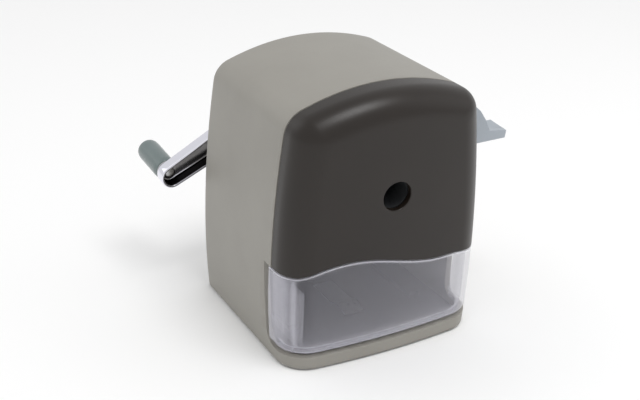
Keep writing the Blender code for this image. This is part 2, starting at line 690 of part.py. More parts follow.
def make_cutter(material, steel, cutter_axis):
    """Fluted cutter and its pinion on one inclined axle. Places count back from the apex."""
    front = (APEX - PINION_FRONT) / math.cos(CONE_ANGLE)
    pinion, _, module = gear_sizes()
    angles, radii = toothed(PINION_TEETH, pinion + 0.7 * module, pinion - 1.1 * module, math.pi / 2)
    places = (-front, -front + PINION_FACE)
    bore = AXLE_RADIUS + GAP
    rims = [[(bore * math.cos(t), y, bore * math.sin(t)) for t in angles] for y in places[::-1]]
    closed_loft("cutter_pinion", [*bevel_rings(angles, radii, places, 0.0), *rims], steel, cutter_axis)
    start = places[1] + GAP
    end = -(APEX - TIP - 0.2) / math.cos(CONE_ANGLE)
    corners = ((0.0, 0.9), (0.12, 0.99), (0.35, 1.0), (0.8, 0.86))
    flutes = range(CUTTER_FLUTES)
    turns = np.array([2 * math.pi * (i + a) / CUTTER_FLUTES for i in flutes for a, _ in corners])
    reach = CUTTER_RADIUS * np.array([r for _ in range(CUTTER_FLUTES) for _, r in corners])

    def twisted_ring(reach, y):
        twist = turns + CUTTER_TWIST * (y - start) / (end - start)
        return np.stack([reach * np.cos(twist), np.full_like(twist, y), reach * np.sin(twist)], axis=1)

    outer = [twisted_ring(reach, y) for y in np.linspace(start, end, 15)]
    inner = [twisted_ring(bore, y) for y in np.linspace(end, start, 7)]
    closed_loft("helical_cutter", outer + inner, material, cutter_axis)
    axle_front = -(APEX - CARRIER_DISC[0] - 0.8) / math.cos(CONE_ANGLE)
    axle_back = -(APEX - HUB_FRONT - HUB_LENGTH + 3) / math.cos(CONE_ANGLE)
    spindle("cutter_axle", [(AXLE_RADIUS, axle_front), (AXLE_RADIUS, axle_back)], steel, cutter_axis, 24)


def make_lock_lever(material, axis):
    """Ring round the frame with two lugs behind the ring gear, and a thumb tab outside the wall."""
    inner, outer = FRAME_RADIUS + RUN, FRAME_RADIUS + RUN + LOCK_THICKNESS
    back = LOCK_FRONT + LOCK_WIDTH
    lever = turned(
        "lock_lever",
        [(inner, LOCK_FRONT), (outer, LOCK_FRONT), (outer, back), (inner, back)],
        material,
        axis,
        56,
    )
    for i, angles in enumerate(lug_angles()):
        along = (lug_front(), lug_front() + 3.0)
        radii = (FRAME_RADIUS - FRAME_WALL - 1.4, inner + 1.2)
        join(lever, arc_block(f"lug_{i}", radii, along, angles, None, axis))
    tab_top = 3.3
    fin = [
        (LEVER_INNER, 0.3),
        (LEVER_REACH, 0.3),
        (LEVER_REACH + 0.4, tab_top),
        (LEVER_REACH - 7.2, tab_top + 1.2),
        (LEVER_REACH - 9.6, 9.5),
        (LEVER_REACH - 12.2, 13.4),
        (LEVER_REACH - 14.6, 15.6),
        (LEVER_INNER, 17.0),
    ]
    tab_low, tab_high = (LEVER_INNER, LOCK_FRONT + 1, 0.2), (LEVER_REACH + 0.3, back + 1, tab_top)
    join(
        lever,
        block("neck", *lever_neck(), None, axis),
        block("tab", tab_low, tab_high, None, axis),
        prism_y("fin", fin, LOCK_FRONT - 0.3, LOCK_FRONT + 2.0, None, axis),
    )
    return lever


# ---------------------------------------------------------------- crank


def arm_outline(inset, along):
    """Two circles of unlike size joined by their common tangents, the hub's centre at the axis."""
    hub, end = ARM_HUB_RADIUS - inset, ARM_END_RADIUS - inset
    tangent = math.acos((hub - end) / ARM_LENGTH)
    outer = np.linspace(-tangent, tangent, 17)
    inner = np.linspace(tangent, 2 * math.pi - tangent, 17)
    points = [(ARM_LENGTH + end * math.cos(t), end * math.sin(t)) for t in outer]
    points += [(hub * math.cos(t), hub * math.sin(t)) for t in inner]
    c, s = math.cos(ARM_ANGLE), math.sin(ARM_ANGLE)
    return [(x * c - z * s, along, x * s + z * c) for x, z in points]


def make_crank(chrome, steel, nylon, axis, knob_axis):
    """Shaft, bush, washer and spacer, the channel arm with its screw, and the knob on its pin."""
    boss_end = REAR_AT + BOSS_HEIGHT
    flange = boss_end + GAP + 1.2
    washer = flange + GAP
    spacer = washer + 0.8 + GAP
    shaft_front = HUB_FRONT + HUB_LENGTH + 1.5 + GAP
    shaft_back = WEB_FRONT - GAP
    bore = SHAFT_RADIUS + RUN
    shaft = [(SHAFT_RADIUS, shaft_front), (SHAFT_RADIUS, shaft_back)]
    shaft = spindle("crank_shaft", shaft, steel, axis, 32)
    tapped = SCREW_RADIUS + GAP
    cut(shaft, spindle("tapped_hole", [(tapped, shaft_back - 9), (tapped, shaft_back + 4)], None, axis, 16))
    bush = [(bore, REAR_AT - WALL - 7.6), (BUSH_RADIUS, REAR_AT - WALL - 7.6), (BUSH_RADIUS, boss_end + GAP)]
    bush += [(BUSH_RADIUS + 1.9, boss_end + GAP), (BUSH_RADIUS + 1.9, flange), (bore, flange)]
    turned("rear_bush", bush, nylon, axis)
    washer_shape = [(bore, washer), (7.0, washer), (7.0, washer + 0.8), (bore, washer + 0.8)]
    turned("shaft_washer", washer_shape, steel, axis)
    spacer_shape = [(bore, spacer), (4.9, spacer), (4.9, WEB_FRONT - GAP), (bore, WEB_FRONT - GAP)]
    turned("crank_spacer", spacer_shape, nylon, axis)
    rings = [
        arm_outline(ARM_WALL, WEB_FRONT),
        arm_outline(ARM_WALL, ARM_FRONT + 0.3),
        arm_outline(ARM_WALL - 0.3, ARM_FRONT),
        arm_outline(0.3, ARM_FRONT),
        arm_outline(0.0, ARM_FRONT + 0.3),
        arm_outline(0.0, ARM_BACK - 1.2),
        arm_outline(0.35, ARM_BACK - 0.35),
        arm_outline(1.2, ARM_BACK),
    ]
    arm = loft("crank_arm", rings, chrome, axis)
    hole = [(SCREW_RADIUS + 0.4, WEB_FRONT - 5), (SCREW_RADIUS + 0.4, ARM_BACK + 5)]
    cut(arm, spindle("arm_screw_hole", hole, None, axis, 16))
    hole = [(PIN_RADIUS + GAP, WEB_FRONT - 5), (PIN_RADIUS + GAP, ARM_BACK + 5)]
    cut(arm, spindle("arm_pin_hole", hole, None, knob_axis, 16))
    head = ARM_BACK + GAP
    screw = [(SCREW_RADIUS, shaft_back - 8), (SCREW_RADIUS, head)]
    screw += [(4.2, head), (4.2, head + 1.2), (2.8, head + 2.2)]
    spindle("crank_screw", screw, steel, axis, 28)
    knob_front = ARM_BACK + 0.3 + 0.5 + GAP
    washer_bore = PIN_RADIUS + RUN
    ring = [(washer_bore, ARM_BACK + 0.3), (4.1, ARM_BACK + 0.3)]
    ring += [(4.1, ARM_BACK + 0.8), (washer_bore, ARM_BACK + 0.8)]
    turned("knob_washer", ring, steel, knob_axis, 28)
    knob_back = knob_front + KNOB_LENGTH
    knob = [
        (washer_bore, knob_front),
        (KNOB_RADIUS - 0.5, knob_front),
        (KNOB_RADIUS, knob_front + 0.6),
        (KNOB_RADIUS, knob_back - 2.6),
        (KNOB_RADIUS - 0.5, knob_back - 1.0),
        (KNOB_RADIUS - 1.6, knob_back),
        (2.7, knob_back),
        (2.7, knob_back - 2.4),
        (washer_bore, knob_back - 2.4),
    ]
    turned("crank_knob", knob, nylon, knob_axis, 36)
    rivet = [
        (1.6, WEB_FRONT - GAP - 1.5),
        (2.5, WEB_FRONT - GAP - 1.0),
        (2.5, WEB_FRONT - GAP),
        (PIN_RADIUS, WEB_FRONT - GAP),
        (PIN_RADIUS, knob_back - 2.4 + GAP),
        (2.3, knob_back - 2.4 + GAP),
        (2.3, knob_back - 1.4 + GAP),
        (1.4, knob_back - 0.9 + GAP),
    ]
    spindle("knob_pin", rivet, steel, knob_axis, 28)


# ---------------------------------------------------------------- assembly


def empty(name, location, tilt, parent=None):
    """A guide whose local Y axis is an axis of the mechanism, tilted about X."""
    guide = bpy.data.objects.new(name, None)
    bpy.context.scene.collection.objects.link(guide)
    guide.parent = parent
    guide.matrix_local = Matrix.Translation([v * MM for v in location]) @ Matrix.Rotation(tilt, 4, "X")
    return guide


def main():
    clear_scene()
    grey = finish("grey_abs", (0.26, 0.25, 0.23), 0.45)
    dark = finish("dark_abs", (0.04, 0.036, 0.032), 0.35)
    clear = finish("clear_styrene", (0.75, 0.76, 0.8), 0.08, alpha=0.35)
    pale = finish("pale_nylon", (0.42, 0.45, 0.5), 0.4)
    inner = finish("inner_nylon", (0.08, 0.08, 0.085), 0.5)
    chrome = finish("chromed_steel", (0.8, 0.8, 0.82), 0.12, 1.0)
    steel = finish("plain_steel", (0.55, 0.55, 0.56), 0.3, 1.0)
    tool_steel = finish("tool_steel", (0.3, 0.3, 0.31), 0.35, 1.0)
    cast = finish("zinc_casting", (0.5, 0.5, 0.5), 0.45, 1.0)
    rubber = finish("black_rubber", (0.03, 0.03, 0.03), 0.8)

    axis = empty("pencil_axis", (0, FACE_Y, HOLE_Z), LEAN)
    cutter_axis = empty("cutter_axis", (0, APEX, 0), -CONE_ANGLE, axis)
    knob_at = (ARM_LENGTH * math.cos(ARM_ANGLE), 0, ARM_LENGTH * math.sin(ARM_ANGLE))
    knob_axis = empty("knob_axis", knob_at, 0.0, axis)

    make_housing(grey, axis)
    make_cover(dark, axis)
    make_drawer(clear)
    make_base(dark, rubber, steel)
    make_frame(inner, axis, steel)
    make_guide(inner, axis)
    make_ring_gear(pale, axis)
    make_carrier(cast, steel, axis, cutter_axis)
    make_cutter(tool_steel, steel, cutter_axis)
    make_lock_lever(pale, axis)
    make_crank(chrome, steel, pale, axis, knob_axis)


main()
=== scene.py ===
# %% [markdown]
# # Desk-top pencil sharpener
#
# A crank sharpener is a moulded shell with a cutter head inside, a clear drawer for
# the shavings and a pressed steel crank behind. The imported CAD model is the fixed
# frame. It is loaded first, and everything made here is placed from it.

import json
import math

import bpy
import numpy as np
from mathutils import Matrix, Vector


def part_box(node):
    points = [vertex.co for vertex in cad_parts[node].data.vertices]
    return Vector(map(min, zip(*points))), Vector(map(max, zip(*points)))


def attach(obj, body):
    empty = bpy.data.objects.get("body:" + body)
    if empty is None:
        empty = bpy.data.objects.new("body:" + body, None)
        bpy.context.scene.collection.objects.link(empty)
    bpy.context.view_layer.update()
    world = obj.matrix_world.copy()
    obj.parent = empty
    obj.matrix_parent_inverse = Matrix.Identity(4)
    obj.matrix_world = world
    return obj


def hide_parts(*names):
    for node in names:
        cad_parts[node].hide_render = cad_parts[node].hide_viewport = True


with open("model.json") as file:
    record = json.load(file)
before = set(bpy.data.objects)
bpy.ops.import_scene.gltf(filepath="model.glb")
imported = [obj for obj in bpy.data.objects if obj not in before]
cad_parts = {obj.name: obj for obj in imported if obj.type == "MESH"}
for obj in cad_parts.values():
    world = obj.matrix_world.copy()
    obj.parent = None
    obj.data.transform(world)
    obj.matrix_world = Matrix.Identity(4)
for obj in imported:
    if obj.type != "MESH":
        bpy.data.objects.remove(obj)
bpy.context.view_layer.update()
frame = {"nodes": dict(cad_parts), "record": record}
nodes = frame["nodes"]
MM = 0.001

# %% [markdown]
# ## Sizes
#
# The visible mouldings are made again with smooth surfaces, so their few driving
# sizes are named here, in millimetres. They are the sizes of the pieces that they
# stand for, so each new piece fills the same space as the one it replaces.

# %% Driving sizes
WIDTH, HEIGHT, DEPTH = 80.0, 101.8, 61.5
SEAM_Y = -21.0  # where cover and housing meet, at floor level
LEAN = math.radians(3.6)  # the whole body leans towards the user
SLOPE = math.tan(LEAN)
WIDEST_Z, FOOT_DRAFT, SHOULDER_DRAFT = 30.0, 1.45, 4.3
SHOULDER_Z = HEIGHT - 11.8
CROWN_RADIUS, SHOULDER_RADIUS = 81.0, 9.6
REAR_DRAFT, REAR_RADIUS = 0.6, 3.0
FACE_BULGE, FACE_SAG, RIM_RADIUS = 16.4, 1.7, 10.0
WALL, SEAM_GAP = 2.4, 0.4
FOOT_Z, LIP_TOP, BAY_STEP, BAY_RADIUS = 0.9, 5.5, 3.0, 5.0
DRAWER_WALL, DRAWER_BOTTOM, DRAWER_EDGE_BACK = 1.8, 6.1, 1.6
TRAY_WIDTH, TRAY_TOP = 68.0, 31.0
HOLE_Z, HOLE_RADIUS = 64.4, 5.4
HALF = WIDTH / 2
FACE_Y = SEAM_Y - FACE_BULGE - SLOPE * HOLE_Z
REAR_AT = (FACE_BULGE + DEPTH) * math.cos(LEAN)
print("mechanism axis from the face, mm:", round(FACE_Y, 2), HOLE_Z)

# %% [markdown]
# ## Helpers
#
# Every surface is a grid of points worked out at once as an array. `grid_faces` joins
# neighbouring points into quads. Patches that share an edge are put in one mesh and
# welded, which leaves one smooth skin.

# %% Mesh helpers
def grid_faces(rows, columns, close=False):
    """Quads between neighbours of a rows by columns grid; close joins the last column to the first."""
    index = np.arange(rows * columns).reshape(rows, columns)
    if close:
        index = np.concatenate([index, index[:, :1]], axis=1)
    return np.stack([index[:-1, :-1], index[:-1, 1:], index[1:, 1:], index[1:, :-1]], axis=-1).reshape(-1, 4)


def sheet_mesh(name, patches, weld=0.004, sharp=35.0, shade=None):
    """One object from several grids in millimetres, welded where they meet, facing outwards.

    Edges whose faces turn by more than `sharp` degrees stay crisp. `shade` gives each
    patch a number that its finish can read, kept as the face attribute "recess".
    """
    import bmesh

    points, faces, start = [], [], 0
    for grid, close in patches:
        rows, columns = grid.shape[:2]
        points.append(grid.reshape(-1, 3))
        faces.append(grid_faces(rows, columns, close) + start)
        start += rows * columns
    data = bpy.data.meshes.new(name)
    data.from_pydata((np.concatenate(points) * MM).tolist(), [], np.concatenate(faces).tolist())
    if shade is not None:
        values = np.repeat(np.array(shade, float), [len(f) for f in faces])
        data.attributes.new("recess", "FLOAT", "FACE").data.foreach_set("value", values)
    sheet = bmesh.new()
    sheet.from_mesh(data)
    bmesh.ops.remove_doubles(sheet, verts=sheet.verts, dist=weld * MM)
    bmesh.ops.dissolve_degenerate(sheet, dist=weld * MM, edges=sheet.edges)
    bmesh.ops.recalc_face_normals(sheet, faces=sheet.faces)
    sheet.to_mesh(data)
    sheet.free()
    data.shade_smooth()
    data.set_sharp_from_angle(angle=math.radians(sharp))
    piece = bpy.data.objects.new(name, data)
    bpy.context.scene.collection.objects.link(piece)
    return piece


def thicken(piece, wall, edge, segments=3):
    """Gives a sheet its wall, inwards, and rounds the edges of the wall."""
    solid = piece.modifiers.new("wall", "SOLIDIFY")
    solid.thickness, solid.offset = wall * MM, -1.0
    round_edges(piece, edge, segments)
    return piece


def round_edges(piece, edge, segments=3, limit=40.0):
    """A small radius on every edge that turns by more than the limit."""
    bevel = piece.modifiers.new("edges", "BEVEL")
    bevel.width, bevel.segments = edge * MM, segments
    bevel.limit_method, bevel.angle_limit = "ANGLE", math.radians(limit)
    bevel.harden_normals = True
    return piece


def place(piece, body, slot, *replaced):
    """Hangs a finished piece on its body and hides the frame pieces that it replaces."""
    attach(piece, body)
    if replaced:
        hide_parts(*replaced)
    return piece


def along_axis(points, tilt=LEAN, origin=(0.0, FACE_Y, HOLE_Z)):
    """Turns points of the mechanism, whose Y runs along its axis, into the frame."""
    c, s = math.cos(tilt), math.sin(tilt)
    x, y, z = points[..., 0], points[..., 1], points[..., 2]
    return np.stack([x + origin[0], origin[1] + y * c - z * s, origin[2] + y * s + z * c], axis=-1)


def turned_grid(profile, segments=64, centre=(0.0, 0.0)):
    """A profile of (radius, distance along the axis) carried once round the mechanism's axis."""
    profile = np.array(profile, float)
    turn = np.linspace(0, 2 * np.pi, segments, endpoint=False)
    radius, along = profile[:, :1], profile[:, 1:]
    grid = [centre[0] + radius * np.cos(turn), along + 0 * turn, centre[1] + radius * np.sin(turn)]
    return along_axis(np.stack(np.broadcast_arrays(*grid), axis=-1))


def fillet(corner, before, after, radius, steps=5):
    """Points of the arc that rounds a corner between two neighbours."""
    corner, before, after = (np.array(p, float) for p in (corner, before, after))
    a, b = before - corner, after - corner
    a, b = a / np.linalg.norm(a), b / np.linalg.norm(b)
    half = math.acos(float(np.clip(a @ b, -1, 1))) / 2
    middle = corner + (a + b) / np.linalg.norm(a + b) * radius / math.sin(half)
    start, end = corner + a * radius / math.tan(half), corner + b * radius / math.tan(half)
    t = np.linspace(0, 1, steps)[:, None]
    spoke = (start - middle) * (1 - t) + (end - middle) * t
    return middle + spoke / np.linalg.norm(spoke, axis=1)[:, None] * radius


def rounded(profile, closed=True):
    """A turned profile whose corners, given as (radius, along, rounding), become arcs."""
    count = len(profile)
    out = []
    for i, (r, y, size) in enumerate(profile):
        ends = not closed and i in (0, count - 1)
        if ends or size == 0:
            out.append(np.array([[r, y]], float))
            continue
        before, after = profile[i - 1][:2], profile[(i + 1) % count][:2]
        out.append(fillet((r, y), before, after, size))
    points = np.concatenate(out)
    return np.concatenate([points, points[:1]]) if closed else points


print("helpers ready")

# %% [markdown]
# ## The body's form
#
# The body is one form: a cross-section with slightly bulging sides, round shoulders
# and a shallow crown, carried from the rear wall to the front, where it rolls over
# into the face. Moving the section inwards by the same amount everywhere gives both
# the roll and the walls, so one function serves every moulding.

# %% The section and the wave
def half_width(z):
    """Half the body's width: it draws in with the square of the distance from its widest level."""
    below = FOOT_DRAFT * ((WIDEST_Z - z) / WIDEST_Z) ** 2
    above = SHOULDER_DRAFT * ((z - WIDEST_Z) / (SHOULDER_Z - WIDEST_Z)) ** 2
    return HALF - np.where(z < WIDEST_Z, below, above)


def side_curve(z, inset):
    """The right side moved inwards along its normal, and the direction of that normal."""
    slope = (half_width(z + 0.01) - half_width(z - 0.01)) / 0.02
    size = np.hypot(1.0, slope)
    return half_width(z) - inset / size, z + inset * slope / size, np.arctan2(-slope, 1.0)


def crown_curve(x, inset):
    """The crown is a shallow parabola, moved inwards in the same way."""
    slope = -x / CROWN_RADIUS
    size = np.hypot(1.0, slope)
    crown = HEIGHT - x * x / (2 * CROWN_RADIUS)
    return x + inset * slope / size, crown - inset / size, np.arctan2(1.0, -slope)


def half_section(inset, base, side=26, shoulder=12, crown=18):
    """Right half of the section as (x, z), from the level `base` up to the middle of the crown.

    The shoulder arc touches the inset side and the inset crown. Its two contact points
    are moved against each other until their centres agree.
    """
    radius = max(SHOULDER_RADIUS - inset, 4.0)
    side_z, crown_x = SHOULDER_Z - 8.0, HALF - 14.0
    for _ in range(60):
        cx, cz, from_turn = side_curve(side_z, inset + radius)
        tx, tz, to_turn = crown_curve(crown_x, inset + radius)
        side_z += tz - cz
        crown_x += cx - tx
    x, z, _ = side_curve(np.linspace(base, side_z, side), inset)
    z[0] = base
    turn = np.linspace(from_turn, to_turn, shoulder)[1:-1]
    arc_x, arc_z = cx + radius * np.cos(turn), cz + radius * np.sin(turn)
    top_x, top_z, _ = crown_curve(np.linspace(crown_x, 0, crown), inset)
    return np.stack([np.concatenate([x, arc_x, top_x]), np.concatenate([z, arc_z, top_z])], axis=1)


WAVE_MEAN, WAVE_HEIGHT, WAVE_LENGTH, WAVE_CREST_X, WAVE_FALL = 38.4, 3.45, 78.0, -17.0, 2.5


def wave(x):
    """Edge between cover and drawer: half a cosine wave, then a soft fall to the right."""
    level_from = HALF - WALL - 1.6
    x = np.clip(x, -level_from, level_from)
    trough = WAVE_CREST_X + WAVE_LENGTH / 2
    swing = WAVE_MEAN + WAVE_HEIGHT * np.cos(2 * np.pi * (x - WAVE_CREST_X) / WAVE_LENGTH)
    fall = WAVE_MEAN - WAVE_HEIGHT - WAVE_FALL * ((x - trough) / (HALF - trough)) ** 2
    return np.where(x < trough, swing, fall)


def face_forward(x):
    """How far the front stands before the seam: highest in the middle, falling to the sides."""
    return FACE_BULGE - FACE_SAG * (x / (HALF - RIM_RADIUS)) ** 2


def at_forward(outline, forward):
    """Section points (x, z) placed a distance before the leaning seam."""
    x, z = outline[..., 0], outline[..., 1]
    return np.stack([x, SEAM_Y - SLOPE * z - forward + 0 * x, z], axis=-1)


print("wave at left, middle and right:", [round(float(wave(np.array(x))), 1) for x in (-HALF, 0, HALF)])

# %% [markdown]
# ## Front cover
#
# The cover is a thin moulded shell. Its skin has two patches: a strip that runs from
# the seam over the rolled rim, and the face, whose points lie on straight lines
# between the rim and the pencil hole. The wall is added afterwards, and every cut
# edge gets the small radius that a mould leaves.

# %% Front cover
def half_from(inset, levels, rest=26, shoulder=12, crown=18):
    """Half section whose side passes through the given levels before it rises to the shoulder."""
    side_top = half_section(inset, levels[0], side=2)[1, 1]
    z = np.concatenate([levels, np.linspace(levels[-1], side_top, rest)[1:]])
    x, z_side, _ = side_curve(z, inset)
    z_side[: len(levels)] = levels
    upper = half_section(inset, levels[0], side=2, shoulder=shoulder, crown=crown)[2:]
    return np.concatenate([np.stack([x, z_side], axis=1), upper])


def ring_between(inset, right, left):
    """Whole section from the right levels over the crown to the left levels."""
    a, b = half_from(inset, np.atleast_1d(right)), half_from(inset, np.atleast_1d(left))
    return np.concatenate([a, (b * (-1, 1))[-2::-1]])


def wave_levels(inset):
    """Levels where the wavy edge meets the right and the left side at this inset."""
    return float(wave(np.array(HALF - inset))), float(wave(np.array(-HALF + inset)))


def roll(turns):
    """Insets and forward losses of the rim: a quarter circle from the side into the face."""
    return [(RIM_RADIUS * (1 - math.cos(t)), RIM_RADIUS * (1 - math.sin(t))) for t in turns]


ROLL_TURNS = np.radians(np.linspace(0, 90, 19))
side_ring = ring_between(0.0, *wave_levels(0.0))
start = face_forward(side_ring[:, 0]) - RIM_RADIUS
strip = [at_forward(side_ring, SEAM_GAP + (start - SEAM_GAP) * u) for u in np.linspace(0, 1, 4)[:-1]]
for inset, loss in roll(ROLL_TURNS):
    ring = ring_between(inset, *wave_levels(inset))
    strip.append(at_forward(ring, face_forward(ring[:, 0]) - loss - 0.03))
rim_ring = ring_between(RIM_RADIUS, *wave_levels(RIM_RADIUS))
edge_x = np.linspace(rim_ring[-1, 0], rim_ring[0, 0], 61)[1:-1]
face_loop = np.concatenate([rim_ring, np.stack([edge_x, wave(edge_x)], axis=1)])
centre = np.array([0.0, HOLE_Z])
spoke = face_loop - centre
reach = np.linalg.norm(spoke, axis=1, keepdims=True)
share = np.linspace(0, 1, 22)[:, None, None] ** 0.8
face_xz = centre + spoke / reach * (reach * (1 - share) + HOLE_RADIUS * share)
face = at_forward(face_xz, face_forward(face_xz[..., 0]) - 0.03)
cover = sheet_mesh("cover_shell", [(np.array(strip), False), (face, True)])
thicken(cover, WALL, 0.45)
print("cover skin:", len(cover.data.vertices), "points")

# %% [markdown]
# ## Housing
#
# The housing is a second shell: sides, crown, rear wall and the low lip that runs
# round the drawer. Its front edge follows three lines, the seam, the step beside the
# drawer and the round down to the lip, so its skin is made of patches that share
# those lines.

# %% Housing skin
STEP_Y = SEAM_Y + BAY_STEP
LIP_LEVELS = np.linspace(FOOT_Z, LIP_TOP, 5)
BAY_LEVELS = LIP_TOP + BAY_RADIUS * (1 - np.cos(np.linspace(0, np.pi / 2, 9)))
BACK_START = DEPTH - REAR_RADIUS


def side_levels(top):
    """Levels that both sides need: foot, lip, bay round, and the end of the wave."""
    return np.concatenate([LIP_LEVELS, BAY_LEVELS[1:], np.linspace(BAY_LEVELS[-1], top, 9)[1:]])


RIGHT, LEFT = (side_levels(level) for level in wave_levels(0.0))
outline_seam = ring_between(0.0, RIGHT, LEFT)
outline_rear = ring_between(REAR_DRAFT, RIGHT, LEFT)


def skin(columns, y):
    """Points of the side and crown at given depths: they draw in evenly towards the rear."""
    x0, z0 = outline_seam[columns].T
    x1, z1 = outline_rear[columns].T
    back = y - (SEAM_Y - SLOPE * z0)
    share = np.clip(back / BACK_START, 0, 1)
    x, z = x0 + (x1 - x0) * share, z0 + (z1 - z0) * share
    return np.stack([x, np.broadcast_to(y, x.shape), z], axis=-1)


total = len(outline_seam)
everywhere = np.arange(total)
seam_line = SEAM_Y - SLOPE * outline_seam[:, 1]
rear_line = seam_line + BACK_START
rows = np.linspace(0, 1, 12)[:, None]
body = skin(everywhere, STEP_Y + (rear_line - STEP_Y) * rows)
last = at_forward(outline_rear, -BACK_START)
body[-1] = last

above = np.arange(len(RIGHT) - 1, total - len(LEFT) + 1)
rows = np.linspace(0, 1, 5)[:, None]
front_edge = skin(above, seam_line[above] + (STEP_Y - seam_line[above]) * rows)

LIP_STEPS = 6
arc_y = STEP_Y - BAY_RADIUS + np.sqrt(BAY_RADIUS**2 - (LIP_TOP + BAY_RADIUS - BAY_LEVELS) ** 2)
bay_right = np.arange(len(LIP_LEVELS) - 1, len(LIP_LEVELS) + len(BAY_LEVELS) - 1)
bay_left = total - 1 - bay_right
rows = np.linspace(0, 1, LIP_STEPS)[:, None]
bays = [skin(columns, arc_y + (STEP_Y - arc_y) * rows) for columns in (bay_right, bay_left)]

rear_roll = []
for turn in np.linspace(0, np.pi / 2, 8):
    ring = ring_between(REAR_DRAFT + REAR_RADIUS * (1 - math.cos(turn)), RIGHT, LEFT)
    rear_roll.append(at_forward(ring, -(BACK_START + REAR_RADIUS * math.sin(turn))))
rear_ring = rear_roll[-1]
foot_x = np.linspace(rear_ring[-1, 0], rear_ring[0, 0], 41)[1:-1]
foot_y = np.full_like(foot_x, rear_ring[0, 1])
rear_loop = np.concatenate([rear_ring, np.stack([foot_x, foot_y, np.full_like(foot_x, FOOT_Z)], axis=1)])
hub_z = HOLE_Z + REAR_AT * math.sin(LEAN)
turn = np.arctan2(rear_loop[:, 2] - hub_z, rear_loop[:, 0])
hub_loop = along_axis(np.stack([7.6 * np.cos(turn), np.full_like(turn, REAR_AT), 7.6 * np.sin(turn)], axis=1))
rows = np.linspace(0, 1, 14)[:, None, None]
rear_wall = rear_loop * (1 - rows) + hub_loop * rows
print("housing section:", total, "points round")

# %% Housing lip
def front_plan(z, extra, back_points):
    """Plan outline at each level, from the right side round the front to the left side.

    The side runs forwards, turns through the rolled rim and follows the bulged face.
    """
    rolls = roll(ROLL_TURNS)
    face_share = np.linspace(1, -1, 41)[1:-1]
    rim_x = side_curve(z, RIM_RADIUS + extra)[0]
    columns = []
    side_x = side_curve(z, extra)[0]
    seam = SEAM_Y - SLOPE * z
    roll_start = seam - (face_forward(side_x) - RIM_RADIUS)
    columns += [np.stack([side_x, y + 0 * z, z], axis=-1) for y in back_points]
    back = columns[-1][:, 1]
    for share in np.linspace(0, 1, 5)[1:-1]:
        columns.append(np.stack([side_x, back + (roll_start - back) * share, z], axis=-1))
    for inset, loss in rolls:
        x = side_curve(z, inset + extra)[0]
        columns.append(np.stack([x, seam - (face_forward(x) - loss) + extra, z], axis=-1))
    right = np.array(columns)
    middle = rim_x * face_share[:, None]
    face = np.stack([middle, seam - face_forward(middle) + extra, z + 0 * middle], axis=-1)
    return np.concatenate([right, face, right[::-1] * (-1, 1, 1)])


lip = front_plan(LIP_LEVELS, 0.0, np.linspace(STEP_Y, STEP_Y - BAY_RADIUS, LIP_STEPS))
right_lip = np.arange(len(LIP_LEVELS))
for i, y in enumerate(np.linspace(STEP_Y, STEP_Y - BAY_RADIUS, LIP_STEPS)):
    edge = skin(right_lip, np.full(len(right_lip), y))
    lip[i], lip[-1 - i] = edge, edge * (-1, 1, 1)
patches = [body, front_edge, *bays, np.array(rear_roll), lip]
housing = sheet_mesh("housing_shell", [*((p, False) for p in patches), (rear_wall, True)])
thicken(housing, WALL, 0.4)
print("housing skin:", len(housing.data.vertices), "points")

# %% [markdown]
# The lever's neck passes through a slot in the right side. The slot is an opening in
# a finished wall, so it is cut with a block and the block is then thrown away.

# %% Lever slot
def settle(piece):
    """Replaces a piece's mesh by what its modifiers make of it."""
    bpy.context.view_layer.update()
    done = bpy.data.meshes.new_from_object(piece.evaluated_get(bpy.context.evaluated_depsgraph_get()))
    piece.modifiers.clear()
    piece.data = done
    return piece


def axis_box(name, low, high):
    """A block between two corners of the mechanism's own tilted frame."""
    corner = np.array([[x, y, z] for x in (0, 1) for y in (0, 1) for z in (0, 1)], float)
    points = along_axis(np.array(low) + corner * (np.array(high) - np.array(low)))
    faces = [(0, 1, 3, 2), (4, 6, 7, 5), (0, 4, 5, 1), (2, 3, 7, 6), (0, 2, 6, 4), (1, 5, 7, 3)]
    data = bpy.data.meshes.new(name)
    data.from_pydata((points * MM).tolist(), [], faces)
    block = bpy.data.objects.new(name, data)
    bpy.context.scene.collection.objects.link(block)
    return block


LOCK_FRONT, LOCK_WIDTH = 23.5, 9.0
LEVER_TRAVEL = math.radians(14.0)
lever_middle = LOCK_FRONT + LOCK_WIDTH / 2
drop = (HALF + 2) * math.sin(LEVER_TRAVEL)
SLOT_HALF, SLOT_LOW, SLOT_TOP = 3.3, -0.8, 7.6
slot_from = (HALF - 9, lever_middle - SLOT_HALF, SLOT_LOW - drop)
slot_to = (HALF + 6, lever_middle + SLOT_HALF, SLOT_TOP)
slot = axis_box("slot_cutter", slot_from, slot_to)
settle(housing)
opening = housing.modifiers.new("lever_slot", "BOOLEAN")
opening.operation, opening.object, opening.solver = "DIFFERENCE", slot, "EXACT"
settle(housing)
bpy.data.objects.remove(slot)
housing.data.set_sharp_from_angle(angle=math.radians(35))
print("housing after the slot:", len(housing.data.polygons), "faces")

# %% [markdown]
# Behind, the crank's bush sits in a raised boss. It is a turned form, so its profile
# is carried once round the mechanism's axis.

# %% Rear boss
BUSH_RADIUS, BOSS_HEIGHT = 5.5, 4.2
boss_profile = rounded(
    [
        (5.8, REAR_AT - 1.6, 0.2),
        (8.6, REAR_AT - 1.6, 0.2),
        (8.6, REAR_AT + 0.4, 0.3),
        (8.0, REAR_AT + 0.9, 0.3),
        (8.0, REAR_AT + BOSS_HEIGHT, 0.5),
        (5.8, REAR_AT + BOSS_HEIGHT, 0.3),
    ]
)
boss = sheet_mesh("rear_boss", [(turned_grid(boss_profile, 72), True)])
print("boss stands", BOSS_HEIGHT, "mm proud of the rear wall")
